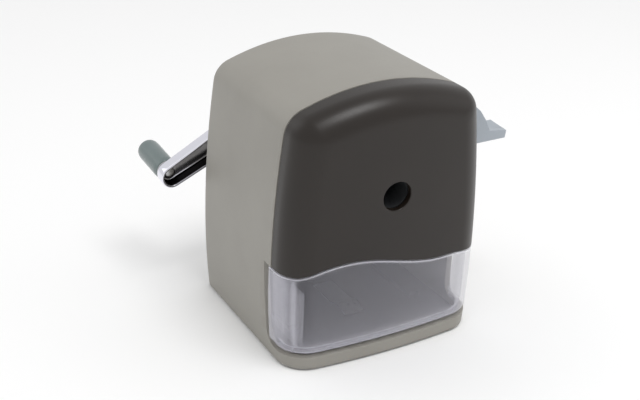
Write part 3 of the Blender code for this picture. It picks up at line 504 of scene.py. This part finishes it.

# %% [markdown]
# ## Shavings drawer
#
# The drawer is one clear moulding: a front that carries on the cover's form down to
# the lip, and an open tray behind it. Its lower edge is rounded, and a painted highlight
# runs along it.

# %% Drawer
LOWER_ROUND = 3.0
up = LOWER_ROUND * (1 - np.cos(np.linspace(0, np.pi / 2, 8))) / (WAVE_MEAN - DRAWER_BOTTOM)
rise = np.concatenate([up, np.linspace(up[-1], 0.96, 22)[1:], [0.975, 0.985, 0.993, 1.0]])
bay_y = STEP_Y - BAY_RADIUS
bay_reach = BAY_RADIUS - SEAM_GAP - 0.1


def drawer_front():
    """Grid of the drawer's front: columns run right to left round the plan, rows upwards."""
    plan = [(0.0, None, u) for u in np.linspace(0, 1, 7)[:-1]]
    plan += [(inset, loss, None) for inset, loss in roll(ROLL_TURNS)]
    share = np.linspace(1, 0, 22)[1:]
    out = []
    for side in (1, -1):
        columns = []
        for inset, loss, u in plan:
            x_top = side * (HALF - inset)
            top = float(wave(np.array(x_top))) - SEAM_GAP
            z = DRAWER_BOTTOM + (top - DRAWER_BOTTOM) * rise
            under = np.clip(LOWER_ROUND - (z - DRAWER_BOTTOM), 0, LOWER_ROUND)
            extra = LOWER_ROUND - np.sqrt(LOWER_ROUND**2 - under**2)
            seam = SEAM_Y - SLOPE * z
            x = side_curve(z, inset + extra)[0]
            if loss is None:
                side_x = side_curve(z, extra)[0]
                front = seam - (face_forward(side_x) - RIM_RADIUS)
                drop = np.clip(LIP_TOP + BAY_RADIUS - z, 0, bay_reach)
                rear = np.minimum(seam + DRAWER_EDGE_BACK, bay_y + np.sqrt(bay_reach**2 - drop**2))
                y = rear + (front - rear) * u
            else:
                turn = math.asin(min(1.0, 1 - loss / RIM_RADIUS))
                y = seam - (face_forward(x) - loss) + extra * math.sin(turn)
            columns.append(np.stack([side * x, y, z], axis=-1))
        rim_x = np.abs(columns[-1][:, 0])
        for s in share:
            x = side * rim_x * s
            top = float(wave(np.array(x[-1]))) - SEAM_GAP
            z = DRAWER_BOTTOM + (top - DRAWER_BOTTOM) * rise
            under = np.clip(LOWER_ROUND - (z - DRAWER_BOTTOM), 0, LOWER_ROUND)
            extra = LOWER_ROUND - np.sqrt(LOWER_ROUND**2 - under**2)
            columns.append(np.stack([x, SEAM_Y - SLOPE * z - face_forward(x) + extra, z], axis=-1))
        out.append(columns)
    right, left = out
    return np.array(right + left[-2::-1])


TRAY_BACK = SEAM_Y + DEPTH - WALL - SLOPE * TRAY_TOP - 9.0
TRAY_ROUND = 3.0


def tray_section(x_half, steps=7):
    """U-shaped section of the tray: two walls and a floor with rounded corners."""
    turn = np.linspace(0, np.pi / 2, steps)
    low = DRAWER_BOTTOM + TRAY_ROUND
    wall_z = np.linspace(TRAY_TOP, low, 8)
    corner_x = x_half - TRAY_ROUND + TRAY_ROUND * np.cos(turn)
    corner_z = low - TRAY_ROUND * np.sin(turn)
    wall = np.stack([0 * wall_z + x_half, wall_z], 1)
    right = np.concatenate([wall, np.stack([corner_x, corner_z], 1)[1:]])
    floor_x = np.linspace(x_half - TRAY_ROUND, 0, 8)[1:]
    right = np.concatenate([right, np.stack([floor_x, 0 * floor_x + DRAWER_BOTTOM], 1)])
    return np.concatenate([right, (right * (-1, 1))[-2::-1]])


def front_inside(x, z):
    """Inner face of the drawer's front at a point of the tray's section, on the rim or on the face."""
    inset = np.clip(side_curve(z, 0.0)[0] - np.abs(x), DRAWER_WALL, None)
    drop = np.clip(RIM_RADIUS - inset, 0, RIM_RADIUS - DRAWER_WALL)
    loss = RIM_RADIUS - np.sqrt((RIM_RADIUS - DRAWER_WALL) ** 2 - drop**2)
    return SEAM_Y - SLOPE * z - (face_forward(x) - loss)


u_shape = tray_section(TRAY_WIDTH / 2)
front_y = front_inside(*u_shape.T) + 0.15
rows = np.linspace(0, 1, 12)[:, None]
tray_y = front_y + (TRAY_BACK - front_y) * rows
tray_walls = np.stack([0 * tray_y + u_shape[:, 0], tray_y, 0 * tray_y + u_shape[:, 1]], axis=-1)
columns = np.linspace(0, 1, 5)[:, None]
back_x = u_shape[:, 0]
back_z = u_shape[:, 1] + (TRAY_TOP - u_shape[:, 1]) * columns
tray_end = np.stack([back_x + 0 * back_z, np.full_like(back_z, TRAY_BACK), back_z], axis=-1)
front_panel = sheet_mesh("drawer_front", [(drawer_front(), False)])


# Sizes and strengths of the painted highlight on the drawer's front, in millimetres.
EDGE_SPREAD = 0.5
LOWER_GLOW, LOWER_REACH = 0.55, 5.0
BEND_GLOW, BEND_AT, BEND_SPREAD = 0.5, 3.2, 0.6
FLANK_GLOW, FLANK_FROM, FLANK_REACH = 0.32, 2.6, 1.6


def paint_edge_highlight(piece):
    """Painted highlight on a clear wall, as a number at each point: 1 on its upper edge, less along its lower
    round, its bends and its flanks.

    Each term falls off with the distance in millimetres: a bell from the wavy edge, a ramp
    from the floor, a narrow bell where the rolled corner is halfway round, and a ramp on
    the flanks. The drawer's finish paints these light lines by making the pale wall more opaque.
    """
    at = np.empty(len(piece.data.vertices) * 3)
    piece.data.vertices.foreach_get("co", at)
    x, _, z = at.reshape(-1, 3).T / MM
    upper = np.exp(-(((wave(x) - SEAM_GAP - z) / EDGE_SPREAD) ** 2))
    lower = LOWER_GLOW * np.clip(1 - (z - DRAWER_BOTTOM) / LOWER_REACH, 0, 1)
    inset = half_width(z) - np.abs(x)
    bend = BEND_GLOW * np.exp(-(((inset - BEND_AT) / BEND_SPREAD) ** 2))
    flank = FLANK_GLOW * np.clip((FLANK_FROM - inset) / FLANK_REACH, 0, 1)
    glow = np.max([upper, lower, bend, flank], axis=0)
    piece.data.attributes.new("edge_light", "FLOAT", "POINT").data.foreach_set("value", glow)
    return glow


# The share printed is the mean of the painted highlight number over the drawer's front.
print("milky share of the drawer's front:", round(float(paint_edge_highlight(front_panel).mean()), 2))
thicken(front_panel, DRAWER_WALL, 0.35)
tray = sheet_mesh("drawer_tray", [(tray_walls, False), (tray_end, False)])
thicken(tray, DRAWER_WALL, 0.3)
drawer_from = round(float(front_panel.bound_box[0][1]) / MM, 1)
print("drawer runs from", drawer_from, "to", round(TRAY_BACK, 1), "mm")

# %% [markdown]
# ## Crank
#
# The arm is a strip pressed into a channel that is open towards the body. Its outline
# is two circles of unlike size with their common tangents. Carrying that outline
# through a path of insets and depths draws floor, walls, rim and the pressed radius
# in one surface.

# %% Crank arm
ARM_LENGTH, ARM_ANGLE = 53.2, math.radians(207.0)
ARM_STAND, ARM_DEPTH, ARM_WALL = 10.1, 6.0, 1.1
ARM_HUB_RADIUS, ARM_END_RADIUS = 6.6, 4.6
GAP = RUN = 0.3
ARM_FRONT = REAR_AT + ARM_STAND
ARM_BACK = ARM_FRONT + ARM_DEPTH
WEB_FRONT = ARM_BACK - ARM_WALL


def arm_ring(inset, along, spread=1.0):
    """The arm's outline, inset, at one depth; a spread of 0 draws it in to the line between its centres."""
    hub, end = ARM_HUB_RADIUS - inset, ARM_END_RADIUS - inset
    tangent = math.acos((hub - end) / ARM_LENGTH)
    outer = np.linspace(-tangent, tangent, 29)
    inner = np.linspace(tangent, 2 * np.pi - tangent, 33)
    tip = np.stack([ARM_LENGTH + spread * end * np.cos(outer), spread * end * np.sin(outer)], 1)
    root = np.stack([spread * hub * np.cos(inner), spread * hub * np.sin(inner)], 1)
    side = np.linspace(0, 1, 14)[1:-1, None]
    upper = tip[-1] * (1 - side) + root[0] * side
    lower = root[-1] * (1 - side) + tip[0] * side
    points = np.concatenate([tip, upper, root, lower])
    c, s = math.cos(ARM_ANGLE), math.sin(ARM_ANGLE)
    x, z = points.T
    return along_axis(np.stack([x * c - z * s, along + 0 * x, x * s + z * c], axis=1))


def arm_corner(inset, along, radius, from_turn, steps=6):
    """Rings round one pressed corner: centre (inset, along) and a quarter turn of the radius."""
    turns = np.radians(np.linspace(from_turn, from_turn + 90, steps))
    return [arm_ring(inset + radius * math.cos(t), along + radius * math.sin(t)) for t in turns]


PRESS_INSIDE, PRESS_OUTSIDE = 0.9, 1.2
floor = [arm_ring(ARM_WALL + PRESS_INSIDE, WEB_FRONT, spread) for spread in (0.0, 0.4, 0.75)]
inside = arm_corner(ARM_WALL + PRESS_INSIDE, WEB_FRONT - PRESS_INSIDE, PRESS_INSIDE, 90)
rim = arm_corner(ARM_WALL / 2, ARM_FRONT + ARM_WALL / 2, ARM_WALL / 2, -90)[::-1]
rim += arm_corner(ARM_WALL / 2, ARM_FRONT + ARM_WALL / 2, ARM_WALL / 2, 180)[::-1]
back = arm_corner(PRESS_OUTSIDE, ARM_BACK - PRESS_OUTSIDE, PRESS_OUTSIDE, 90)[::-1]
web = [arm_ring(PRESS_OUTSIDE, ARM_BACK, spread) for spread in (0.75, 0.4, 0.0)]
channel = [floor + inside[:3], inside[2:] + rim[:2], rim[1:8], rim[7:] + back + web]
# Painted shade: each patch's number darkens the plating towards near black and adds roughness; the inside of
# the walls is painted darkest, the cut edge and the web less.
SHADE_AND_DULLNESS = (0.25, 1.0, 0.55, 0.0)  # inside of the web, inside of the walls, cut edge, outside
arm = sheet_mesh("crank_channel", [(np.array(rings), True) for rings in channel], sharp=60, shade=SHADE_AND_DULLNESS)
print("arm:", len(arm.data.vertices), "points")

# %% [markdown]
# Screws, washers, bush and knob are turned. A screw's head has one thing that a
# turned form lacks, its cross recess, which is sunk into the head's grid as a depth
# that depends on the distance to two crossing lines.

# %% Turned pieces and screws
KNOB_AT = (ARM_LENGTH * math.cos(ARM_ANGLE), ARM_LENGTH * math.sin(ARM_ANGLE))
SHAFT_RADIUS, PIN_RADIUS, KNOB_RADIUS, KNOB_LENGTH, SCREW_RADIUS = 3.0, 1.5, 4.6, 20.6, 1.3
RING_THICK, RING_RADIUS = 0.5, 4.1
FLANGE_THICK, FLANGE_WIDTH, BUSH_LENGTH = 1.2, 1.9, 7.6
WASHER_THICK, WASHER_RADIUS, SPACER_RADIUS = 0.8, 7.0, 4.9
SOCKET_RADIUS, SOCKET_DEPTH = 2.7, 2.4  # hollow in the knob's end round the pin's head
ring_front = ARM_BACK + GAP
ring_back = ring_front + RING_THICK
knob_front = ring_back + GAP
knob_back = knob_front + KNOB_LENGTH
flange = REAR_AT + BOSS_HEIGHT + GAP
washer_at = flange + FLANGE_THICK + GAP
washer_back = washer_at + WASHER_THICK
spacer_at = washer_back + GAP


def turned_piece(name, corners, centre=(0.0, 0.0), segments=64):
    """A closed ring of rounded corners turned round an axis."""
    return sheet_mesh(name, [(turned_grid(rounded(corners), segments, centre), True)])


bore = PIN_RADIUS + RUN
knob = turned_piece(
    "grip_knob",
    [
        (bore, knob_front, 0.2),
        (KNOB_RADIUS - 0.45, knob_front, 0.5),
        (KNOB_RADIUS - 0.05, knob_front + 2.2, 1.5),
        (KNOB_RADIUS, knob_back - 3.0, 1.5),
        (KNOB_RADIUS - 0.2, knob_back, 1.5),
        (SOCKET_RADIUS, knob_back, 0.3),
        (SOCKET_RADIUS, knob_back - SOCKET_DEPTH, 0.2),
        (bore, knob_back - SOCKET_DEPTH, 0.2),
    ],
    KNOB_AT,
    72,
)
washer = turned_piece(
    "knob_ring",
    [
        (bore, ring_front, 0.1),
        (RING_RADIUS, ring_front, 0.15),
        (RING_RADIUS, ring_back, 0.15),
        (bore, ring_back, 0.1),
    ],
    KNOB_AT,
)
shaft_bore = SHAFT_RADIUS + RUN
bush = turned_piece(
    "crank_bush",
    [
        (shaft_bore, REAR_AT - WALL - BUSH_LENGTH, 0.3),
        (BUSH_RADIUS, REAR_AT - WALL - BUSH_LENGTH, 0.4),
        (BUSH_RADIUS, flange, 0.15),
        (BUSH_RADIUS + FLANGE_WIDTH, flange, 0.25),
        (BUSH_RADIUS + FLANGE_WIDTH, flange + FLANGE_THICK, 0.4),
        (shaft_bore, flange + FLANGE_THICK, 0.2),
    ],
)
thrust = turned_piece(
    "thrust_washer",
    [
        (shaft_bore, washer_at, 0.1),
        (WASHER_RADIUS, washer_at, 0.2),
        (WASHER_RADIUS, washer_back, 0.2),
        (shaft_bore, washer_back, 0.1),
    ],
)
spacer = turned_piece(
    "crank_tube",
    [
        (shaft_bore, spacer_at, 0.2),
        (SPACER_RADIUS, spacer_at, 0.4),
        (SPACER_RADIUS, WEB_FRONT - GAP, 0.3),
        (shaft_bore, WEB_FRONT - GAP, 0.2),
    ],
)


def dome(top, radius, height, rows=16):
    """Profile of a rivet's head, from its middle outwards: a shallow part of an ellipse."""
    quarter = np.linspace(0, 1, rows) * np.pi / 2
    return np.stack([radius * np.sin(quarter), top - height * (1 - np.cos(quarter))], axis=1)


RIVET_RADIUS, RIVET_HEIGHT, PIN_HEAD_RADIUS = 2.5, 1.5, 2.3
rivet_back = WEB_FRONT - GAP
rivet_head = dome(0.0, RIVET_RADIUS, 1.2) * (1, -1) + (0, rivet_back - RIVET_HEIGHT)
pin_end = knob_back - SOCKET_DEPTH + GAP
pin_head = dome(pin_end + RIVET_HEIGHT, PIN_HEAD_RADIUS, 0.8)[::-1]
neck = [(RIVET_RADIUS, rivet_back), (PIN_RADIUS, rivet_back)]
stem = neck + [(PIN_RADIUS, pin_end), (PIN_HEAD_RADIUS, pin_end)]
pin_profile = np.concatenate([rivet_head, stem, pin_head])
pin = sheet_mesh("knob_rivet", [(turned_grid(pin_profile, 48, KNOB_AT), True)])


def screw_grid(radius, height, shank, length, recess):
    """A pan head with a cross recess, standing on Y = 0 and pointing along +Y, with its shank below.

    The recess is as deep as `recess` allows where a point lies near one of two crossing
    lines, and runs out towards the rim.
    """
    share = np.linspace(0, 1, 34)[:, None]
    turn = np.linspace(0, 2 * np.pi, 96, endpoint=False)
    r = radius * np.sin(share * np.pi / 2)
    x, z = r * np.cos(turn), r * np.sin(turn)
    line = np.minimum(np.abs(x), np.abs(z)) / (0.17 * radius)
    inner = np.clip(1 - r / (0.62 * radius), 0, 1)
    sunk = recess * np.clip(2.2 - 1.6 * line, 0, 1) * np.clip(inner * 2.2, 0, 1)
    top = height * (0.45 + 0.55 * np.cos(share * np.pi / 2)) - sunk
    head = np.stack([x, top, z], axis=-1)
    below = [(radius, 0.0), (shank, 0.0), (shank, -length), (0.0, -length - 0.5)]
    rest = [np.stack([a * np.cos(turn), b + 0 * turn, a * np.sin(turn)], axis=-1) for a, b in below]
    return np.concatenate([head, rest])


def to_axis(point):
    """A point of the frame in the mechanism's own directions, counted from the face."""
    c, s = math.cos(LEAN), math.sin(LEAN)
    y, z = point[1] - FACE_Y, point[2] - HOLE_Z
    return np.array([point[0], y * c + z * s, z * c - y * s])


def middle(node):
    """Middle of a piece of the frame, in millimetres."""
    low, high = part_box(node)
    return np.array((low + high) / 2) / MM


screws = {}
grid = screw_grid(4.2, 2.2, SCREW_RADIUS, 7.0, 1.0)
screws["crank_screw"] = sheet_mesh("crank_bolt", [(along_axis(grid + (0, ARM_BACK + GAP, 0)), True)])
for i in range(1, 5):
    x, _, z = to_axis(middle(f"frame_screw_{i}"))
    grid = screw_grid(2.9, 1.9, SCREW_RADIUS, 5.5, 0.8)
    skin_of = along_axis(grid + (x, REAR_AT + GAP, z))
    screws[f"frame_screw_{i}"] = sheet_mesh(f"wall_screw_{i}", [(skin_of, True)])
for side in ("left", "right"):
    node = f"base_screw_{side}"
    x, y, _ = middle(node)
    z = float(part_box(node)[0][2]) / MM
    grid = screw_grid(2.8, 0.9, SCREW_RADIUS, 9.0, 0.5)[..., [0, 2, 1]] * (1, 1, -1)
    screws[node] = sheet_mesh(f"base_bolt_{side}", [(grid + (x, y, z + 0.9), True)])
print("screws:", len(screws))

# %% [markdown]
# ## Lever and small mouldings
#
# The thumb lever's shape is already right in the frame, but a moulding never has
# knife edges. Copies of such pieces get their points merged and every edge a small
# radius.

# %% Pieces softened from the frame
def softened(node, name, edge):
    """A copy of a frame piece, its flat faces joined up again and its edges rounded."""
    import bmesh

    data = nodes[node].data.copy()
    data.materials.clear()
    work = bmesh.new()
    work.from_mesh(data)
    bmesh.ops.remove_doubles(work, verts=work.verts, dist=0.002 * MM)
    bmesh.ops.dissolve_limit(work, angle_limit=math.radians(0.6), verts=work.verts, edges=work.edges)
    work.to_mesh(data)
    work.free()
    data.shade_smooth()
    data.set_sharp_from_angle(angle=math.radians(30))
    piece = bpy.data.objects.new(name, data)
    bpy.context.scene.collection.objects.link(piece)
    return round_edges(piece, edge, 3, 40)


lever = softened("lock_lever", "thumb_lever", 0.45)
plate = softened("base_plate", "bottom_plate", 0.3)
pad = softened("grip_pad", "foot_pad", 0.25)
print("softened:", [p.name for p in (lever, plate, pad)])

# %% [markdown]
# ## Bodies
#
# Every piece now goes onto the body that it moves with, and the plain piece of the
# frame that it stands for is hidden.

# %% Hang the pieces on their bodies
place(housing, "housing", "grey_abs", "main_housing")
place(boss, "housing", "grey_abs")
place(cover, "housing", "dark_abs", "front_cover")
place(front_panel, "drawer", "clear_styrene", "shavings_drawer")
place(tray, "drawer", "clear_styrene")
place(bush, "housing", "pale_nylon", "rear_bush")
place(plate, "housing", "dark_abs", "base_plate")
place(pad, "housing", "black_rubber", "grip_pad")
place(arm, "crank", "chromed_steel", "crank_arm")
place(pin, "crank", "plain_steel", "knob_pin")
place(washer, "crank", "plain_steel", "knob_washer")
place(thrust, "crank", "plain_steel", "shaft_washer")
place(spacer, "crank", "pale_nylon", "crank_spacer")
place(knob, "knob", "pale_nylon", "crank_knob")
place(lever, "lever", "pale_nylon", "lock_lever")
for node, screw in screws.items():
    place(screw, "crank" if node == "crank_screw" else "housing", "plain_steel", node)
print("pieces placed")

# %% [markdown]
# ## Finishes
#
# Each finish starts from what the material is and how its surface was made. A moulded
# plastic is never quite even: the mould's spark-eroded grain scatters light, and the
# colour drifts a little with the flow. Patterns are sized in millimetres.

# %% Material helpers
def linear(code, alpha=1.0):
    """An sRGB hex colour as the linear values that a shader takes."""
    srgb = np.array([int(code[i : i + 2], 16) for i in (1, 3, 5)]) / 255
    return (*np.where(srgb <= 0.04045, srgb / 12.92, ((srgb + 0.055) / 1.055) ** 2.4).tolist(), alpha)


def node(tree, kind, settings=(), **links):
    """Adds one shader node; settings go on the node, links on its inputs by name or by value."""
    made = tree.nodes.new(kind)
    for key, value in dict(settings).items():
        setattr(made, key, value)
    for key, value in links.items():
        numbered = key[0] == "i" and key[1:].isdigit()
        socket = made.inputs[int(key[1:]) if numbered else key.replace("_", " ")]
        if isinstance(value, bpy.types.NodeSocket):
            tree.links.new(value, socket)
        else:
            socket.default_value = value
    return made


def finish(name, **constants):
    """A material with its Principled shader; constants are set on the shader's own sockets."""
    material = bpy.data.materials.new(name)
    material.use_nodes = True
    tree = material.node_tree
    shader = tree.nodes["Principled BSDF"]
    for key, value in constants.items():
        shader.inputs[key.replace("_", " ")].default_value = value
    return material, tree, shader


def per_mm(size):
    """Noise scale whose features are this many millimetres across, on Object coordinates in metres."""
    return 1000.0 / size


def moulded(name, low, high, drift, grain, depth, rough, **constants):
    """Injection moulded plastic: a slow drift of colour, and a fine grain that scatters light.

    drift and grain are feature sizes in millimetres, depth the grain's height and rough
    the range of roughness.
    """
    material, tree, shader = finish(name, **constants)
    place_at = node(tree, "ShaderNodeTexCoord").outputs["Object"]
    flow = node(tree, "ShaderNodeTexNoise", Vector=place_at, Scale=per_mm(drift), Detail=3.0).outputs["Fac"]
    colour = node(tree, "ShaderNodeMix", {"data_type": "RGBA"}, Factor=flow, i6=linear(low), i7=linear(high))
    fine = node(tree, "ShaderNodeTexNoise", Vector=place_at, Scale=per_mm(grain), Detail=2.0).outputs["Fac"]
    gloss = node(tree, "ShaderNodeMapRange", Value=fine, To_Min=rough[0], To_Max=rough[1]).outputs["Result"]
    bump = node(tree, "ShaderNodeBump", Strength=0.5, Distance=depth * MM, Height=fine).outputs["Normal"]
    tree.links.new(colour.outputs[2], shader.inputs["Base Color"])
    tree.links.new(gloss, shader.inputs["Roughness"])
    tree.links.new(bump, shader.inputs["Normal"])
    return material


print("one millimetre of grain is a noise scale of", per_mm(1.0))

# %% [markdown]
# The mouldings are ABS. The housing is a warm grey with a satin, spark-eroded skin.
# The cover is polished more, so it is darker and takes one soft highlight along its
# rim. The grain of such a mould is about 0.1 mm, too fine to show, so it is drawn at
# 0.5 mm. Lever, knob and bushes are acetal, which is slightly waxy.

# %% Plastics and rubber
satin_abs = moulded("satin_grey_abs", "#8A8780", "#94918A", 18, 0.5, 0.012, (0.40, 0.52), IOR=1.54)
polished_abs = moulded("polished_dark_abs", "#1A140F", "#221B16", 22, 0.6, 0.006, (0.30, 0.40), IOR=1.45)
acetal = moulded("pale_acetal", "#9DA4AC", "#A8AFB6", 12, 0.5, 0.008, (0.30, 0.42), IOR=1.48)
grip_acetal = moulded("knob_acetal", "#657171", "#707C7B", 9, 0.5, 0.004, (0.18, 0.26), IOR=1.52)
inner_abs = moulded("unpolished_dark_abs", "#1A1817", "#221F1E", 16, 0.5, 0.012, (0.5, 0.62), IOR=1.50)
dark_nylon = moulded("dark_nylon", "#2B2C2E", "#343638", 10, 0.5, 0.01, (0.42, 0.56), IOR=1.53)
rubber = moulded("black_rubber", "#1B1B1B", "#232323", 8, 0.7, 0.03, (0.72, 0.88), IOR=1.52)

# %% [markdown]
# The drawer is clear polystyrene. Seen square on, a wall hides almost nothing. Seen at
# a grazing angle it is long, so it hides more. The drawer's edge number paints highlights
# on its edges, bends, lower round and flanks by making the pale wall more opaque there.
# The colour has a trace of lilac, and flow marks from the mould show as slow changes of gloss.

# %% Clear drawer
styrene, tree, shader = finish("clear_polystyrene", IOR=1.59, Coat_Weight=0.4, Coat_Roughness=0.04)
place_at = node(tree, "ShaderNodeTexCoord").outputs["Object"]
flow = node(tree, "ShaderNodeTexNoise", Vector=place_at, Scale=per_mm(14), Detail=2.0).outputs["Fac"]
haze = node(
    tree, "ShaderNodeMix", {"data_type": "RGBA"}, Factor=flow, i6=linear("#ECEBF8"), i7=linear("#F6F5FD")
)
tree.links.new(haze.outputs[2], shader.inputs["Base Color"])
gloss = node(tree, "ShaderNodeMapRange", Value=flow, To_Min=0.04, To_Max=0.12).outputs["Result"]
tree.links.new(gloss, shader.inputs["Roughness"])
grazing = node(tree, "ShaderNodeLayerWeight", Blend=0.35).outputs["Facing"]
depth = node(tree, "ShaderNodeMapRange", Value=grazing, To_Min=0.022, To_Max=0.34).outputs["Result"]
# Painted highlight: the edge number adds opacity to the pale wall, which paints light lines on its edges and
# bends.
edge = node(tree, "ShaderNodeAttribute", {"attribute_name": "edge_light"}).outputs["Fac"]
# The share below is how much opacity the painted highlight adds where the edge number is 1.
HIGHLIGHT_SHARE = 0.42  # how much a wall's edge hides
painted_highlight = node(
    tree, "ShaderNodeMath", {"operation": "MULTIPLY_ADD", "use_clamp": True}, i0=edge, i1=HIGHLIGHT_SHARE, i2=depth
)
tree.links.new(painted_highlight.outputs["Value"], shader.inputs["Alpha"])

# %% [markdown]
# The crank is pressed steel with bright nickel and chrome plating: nearly a mirror,
# with a slight waviness from the press. The arm's recess number paints shade inside the
# channel, most on the inside of its walls, and makes the plating duller there. Screws,
# washers and pins are plain turned steel. The cutter is ground tool steel and the carrier
# is cast zinc.

# %% Metals
chrome, tree, shader = finish("bright_plating", Metallic=1.0)
place_at = node(tree, "ShaderNodeTexCoord").outputs["Object"]
waves = node(tree, "ShaderNodeTexNoise", Vector=place_at, Scale=per_mm(7), Detail=1.0).outputs["Fac"]
recess = node(tree, "ShaderNodeAttribute", {"attribute_name": "recess"}).outputs["Fac"]
# Painted shade: the recess number mixes the plating's colour towards near black inside the channel.
tone = node(
    tree, "ShaderNodeMix", {"data_type": "RGBA"}, Factor=recess, i6=linear("#EBEBF4"), i7=linear("#1B1918")
)
tree.links.new(tone.outputs[2], shader.inputs["Base Color"])
polish = node(tree, "ShaderNodeMapRange", Value=waves, To_Min=0.06, To_Max=0.16).outputs["Result"]
DULLER = 0.25  # roughness added where the plating is thinnest
gloss = node(tree, "ShaderNodeMath", {"operation": "MULTIPLY_ADD"}, i0=recess, i1=DULLER, i2=polish)
tree.links.new(gloss.outputs["Value"], shader.inputs["Roughness"])
bump = node(tree, "ShaderNodeBump", Strength=0.25, Distance=0.02 * MM, Height=waves).outputs["Normal"]
tree.links.new(bump, shader.inputs["Normal"])


def metal(name, low, high, mark, rough):
    """Bare metal: tool marks of the given size in millimetres change its tone and its gloss."""
    material, tree, shader = finish(name, Metallic=1.0)
    place_at = node(tree, "ShaderNodeTexCoord").outputs["Object"]
    marks = node(tree, "ShaderNodeTexNoise", Vector=place_at, Scale=per_mm(mark), Detail=4.0).outputs["Fac"]
    tone = node(tree, "ShaderNodeMix", {"data_type": "RGBA"}, Factor=marks, i6=linear(low), i7=linear(high))
    gloss = node(tree, "ShaderNodeMapRange", Value=marks, To_Min=rough[0], To_Max=rough[1]).outputs["Result"]
    tree.links.new(tone.outputs[2], shader.inputs["Base Color"])
    tree.links.new(gloss, shader.inputs["Roughness"])
    return material


turned_steel = metal("turned_steel", "#A9A9AA", "#BFBFC1", 0.8, (0.22, 0.38))
ground_steel = metal("ground_tool_steel", "#6F7073", "#85868A", 0.6, (0.26, 0.44))
cast_zinc = metal("cast_zinc", "#8C8D8E", "#A0A1A3", 1.4, (0.42, 0.6))

# %% Give every piece its finish
by_slot = {
    "grey_abs": satin_abs, "dark_abs": polished_abs, "clear_styrene": styrene, "pale_nylon": acetal,
    "inner_nylon": dark_nylon, "chromed_steel": chrome, "plain_steel": turned_steel,
    "tool_steel": ground_steel, "zinc_casting": cast_zinc, "black_rubber": rubber,
}
slot_of = {row["node"]: row["material_slot"] for row in frame["record"]["subparts"]}
for name, piece in nodes.items():
    piece.data.materials.clear()
    piece.data.materials.append(by_slot[slot_of[name]])
runners = [nodes[f"drawer_runner_{side}"] for side in ("left", "right")]
made = {
    satin_abs: (housing, boss), polished_abs: (cover,), inner_abs: (plate, *runners),
    styrene: (front_panel, tray), acetal: (bush, spacer, lever), grip_acetal: (knob,),
    chrome: (arm,), rubber: (pad,), turned_steel: (pin, washer, thrust, *screws.values()),
}
for material, pieces in made.items():
    for piece in pieces:
        piece.data.materials.clear()
        piece.data.materials.append(material)
print("finishes given to", len(nodes) + sum(len(p) for p in made.values()), "pieces")

# %% [markdown]
# ## Stage, light and camera
#
# A pale floor, an even white sky and three soft lamps. The key stands high overhead and
# a little in front, where it draws the long highlight on the cover's rim.

# %% Floor and light
floor_data = bpy.data.meshes.new("floor")
reach = 3.0
corners = [(-reach, -reach, 0), (reach, -reach, 0), (reach, reach, 0), (-reach, reach, 0)]
floor_data.from_pydata(corners, [], [(0, 1, 2, 3)])
ground = bpy.data.objects.new("floor", floor_data)
bpy.context.scene.collection.objects.link(ground)
paper, _, _ = finish("white_paper", Base_Color=linear("#FAFAFA"), Roughness=0.9)
floor_data.materials.append(paper)

world = bpy.data.worlds.new("white_sky")
bpy.context.scene.world = world
world.use_nodes = True
sky = world.node_tree.nodes["Background"]
sky.inputs["Color"].default_value = (1, 1, 1, 1)
sky.inputs["Strength"].default_value = 0.78


def lamp(name, at, towards, size, power):
    """A square soft box that faces a point, both in metres."""
    from mathutils import Vector

    light = bpy.data.lights.new(name, "AREA")
    light.size, light.energy = size, power
    box = bpy.data.objects.new(name, light)
    bpy.context.scene.collection.objects.link(box)
    box.location = at
    box.rotation_euler = (Vector(towards) - Vector(at)).to_track_quat("-Z", "Y").to_euler()
    return box


aim = (0.0, 0.0, 0.06)
lamp("key", (0.08, -0.32, 0.82), aim, 0.35, 2.4)
lamp("fill", (0.7, -0.4, 0.5), aim, 0.6, 0.4)
lamp("rear", (-0.6, 0.55, 0.6), aim, 0.6, 0.6)

# %% Camera
from mathutils import Matrix

RIGHT_AXIS = np.array([0.88460, -0.46635, 0.00158])
UP_AXIS = np.array([0.19836, 0.37933, 0.90375])
lens = bpy.data.cameras.new("camera")
lens.lens, lens.sensor_width = 70.21, 36.0
lens.clip_start = 0.01
camera = bpy.data.objects.new("camera", lens)
bpy.context.scene.collection.objects.link(camera)
turn = np.eye(4)
turn[:3, 0], turn[:3, 1], turn[:3, 2] = RIGHT_AXIS, UP_AXIS, np.cross(RIGHT_AXIS, UP_AXIS)
turn[:3, 3] = (-0.20329, -0.36954, 0.24549)
camera.matrix_world = Matrix(turn.tolist())
bpy.context.scene.camera = camera
bpy.context.scene.view_settings.view_transform = "Standard"
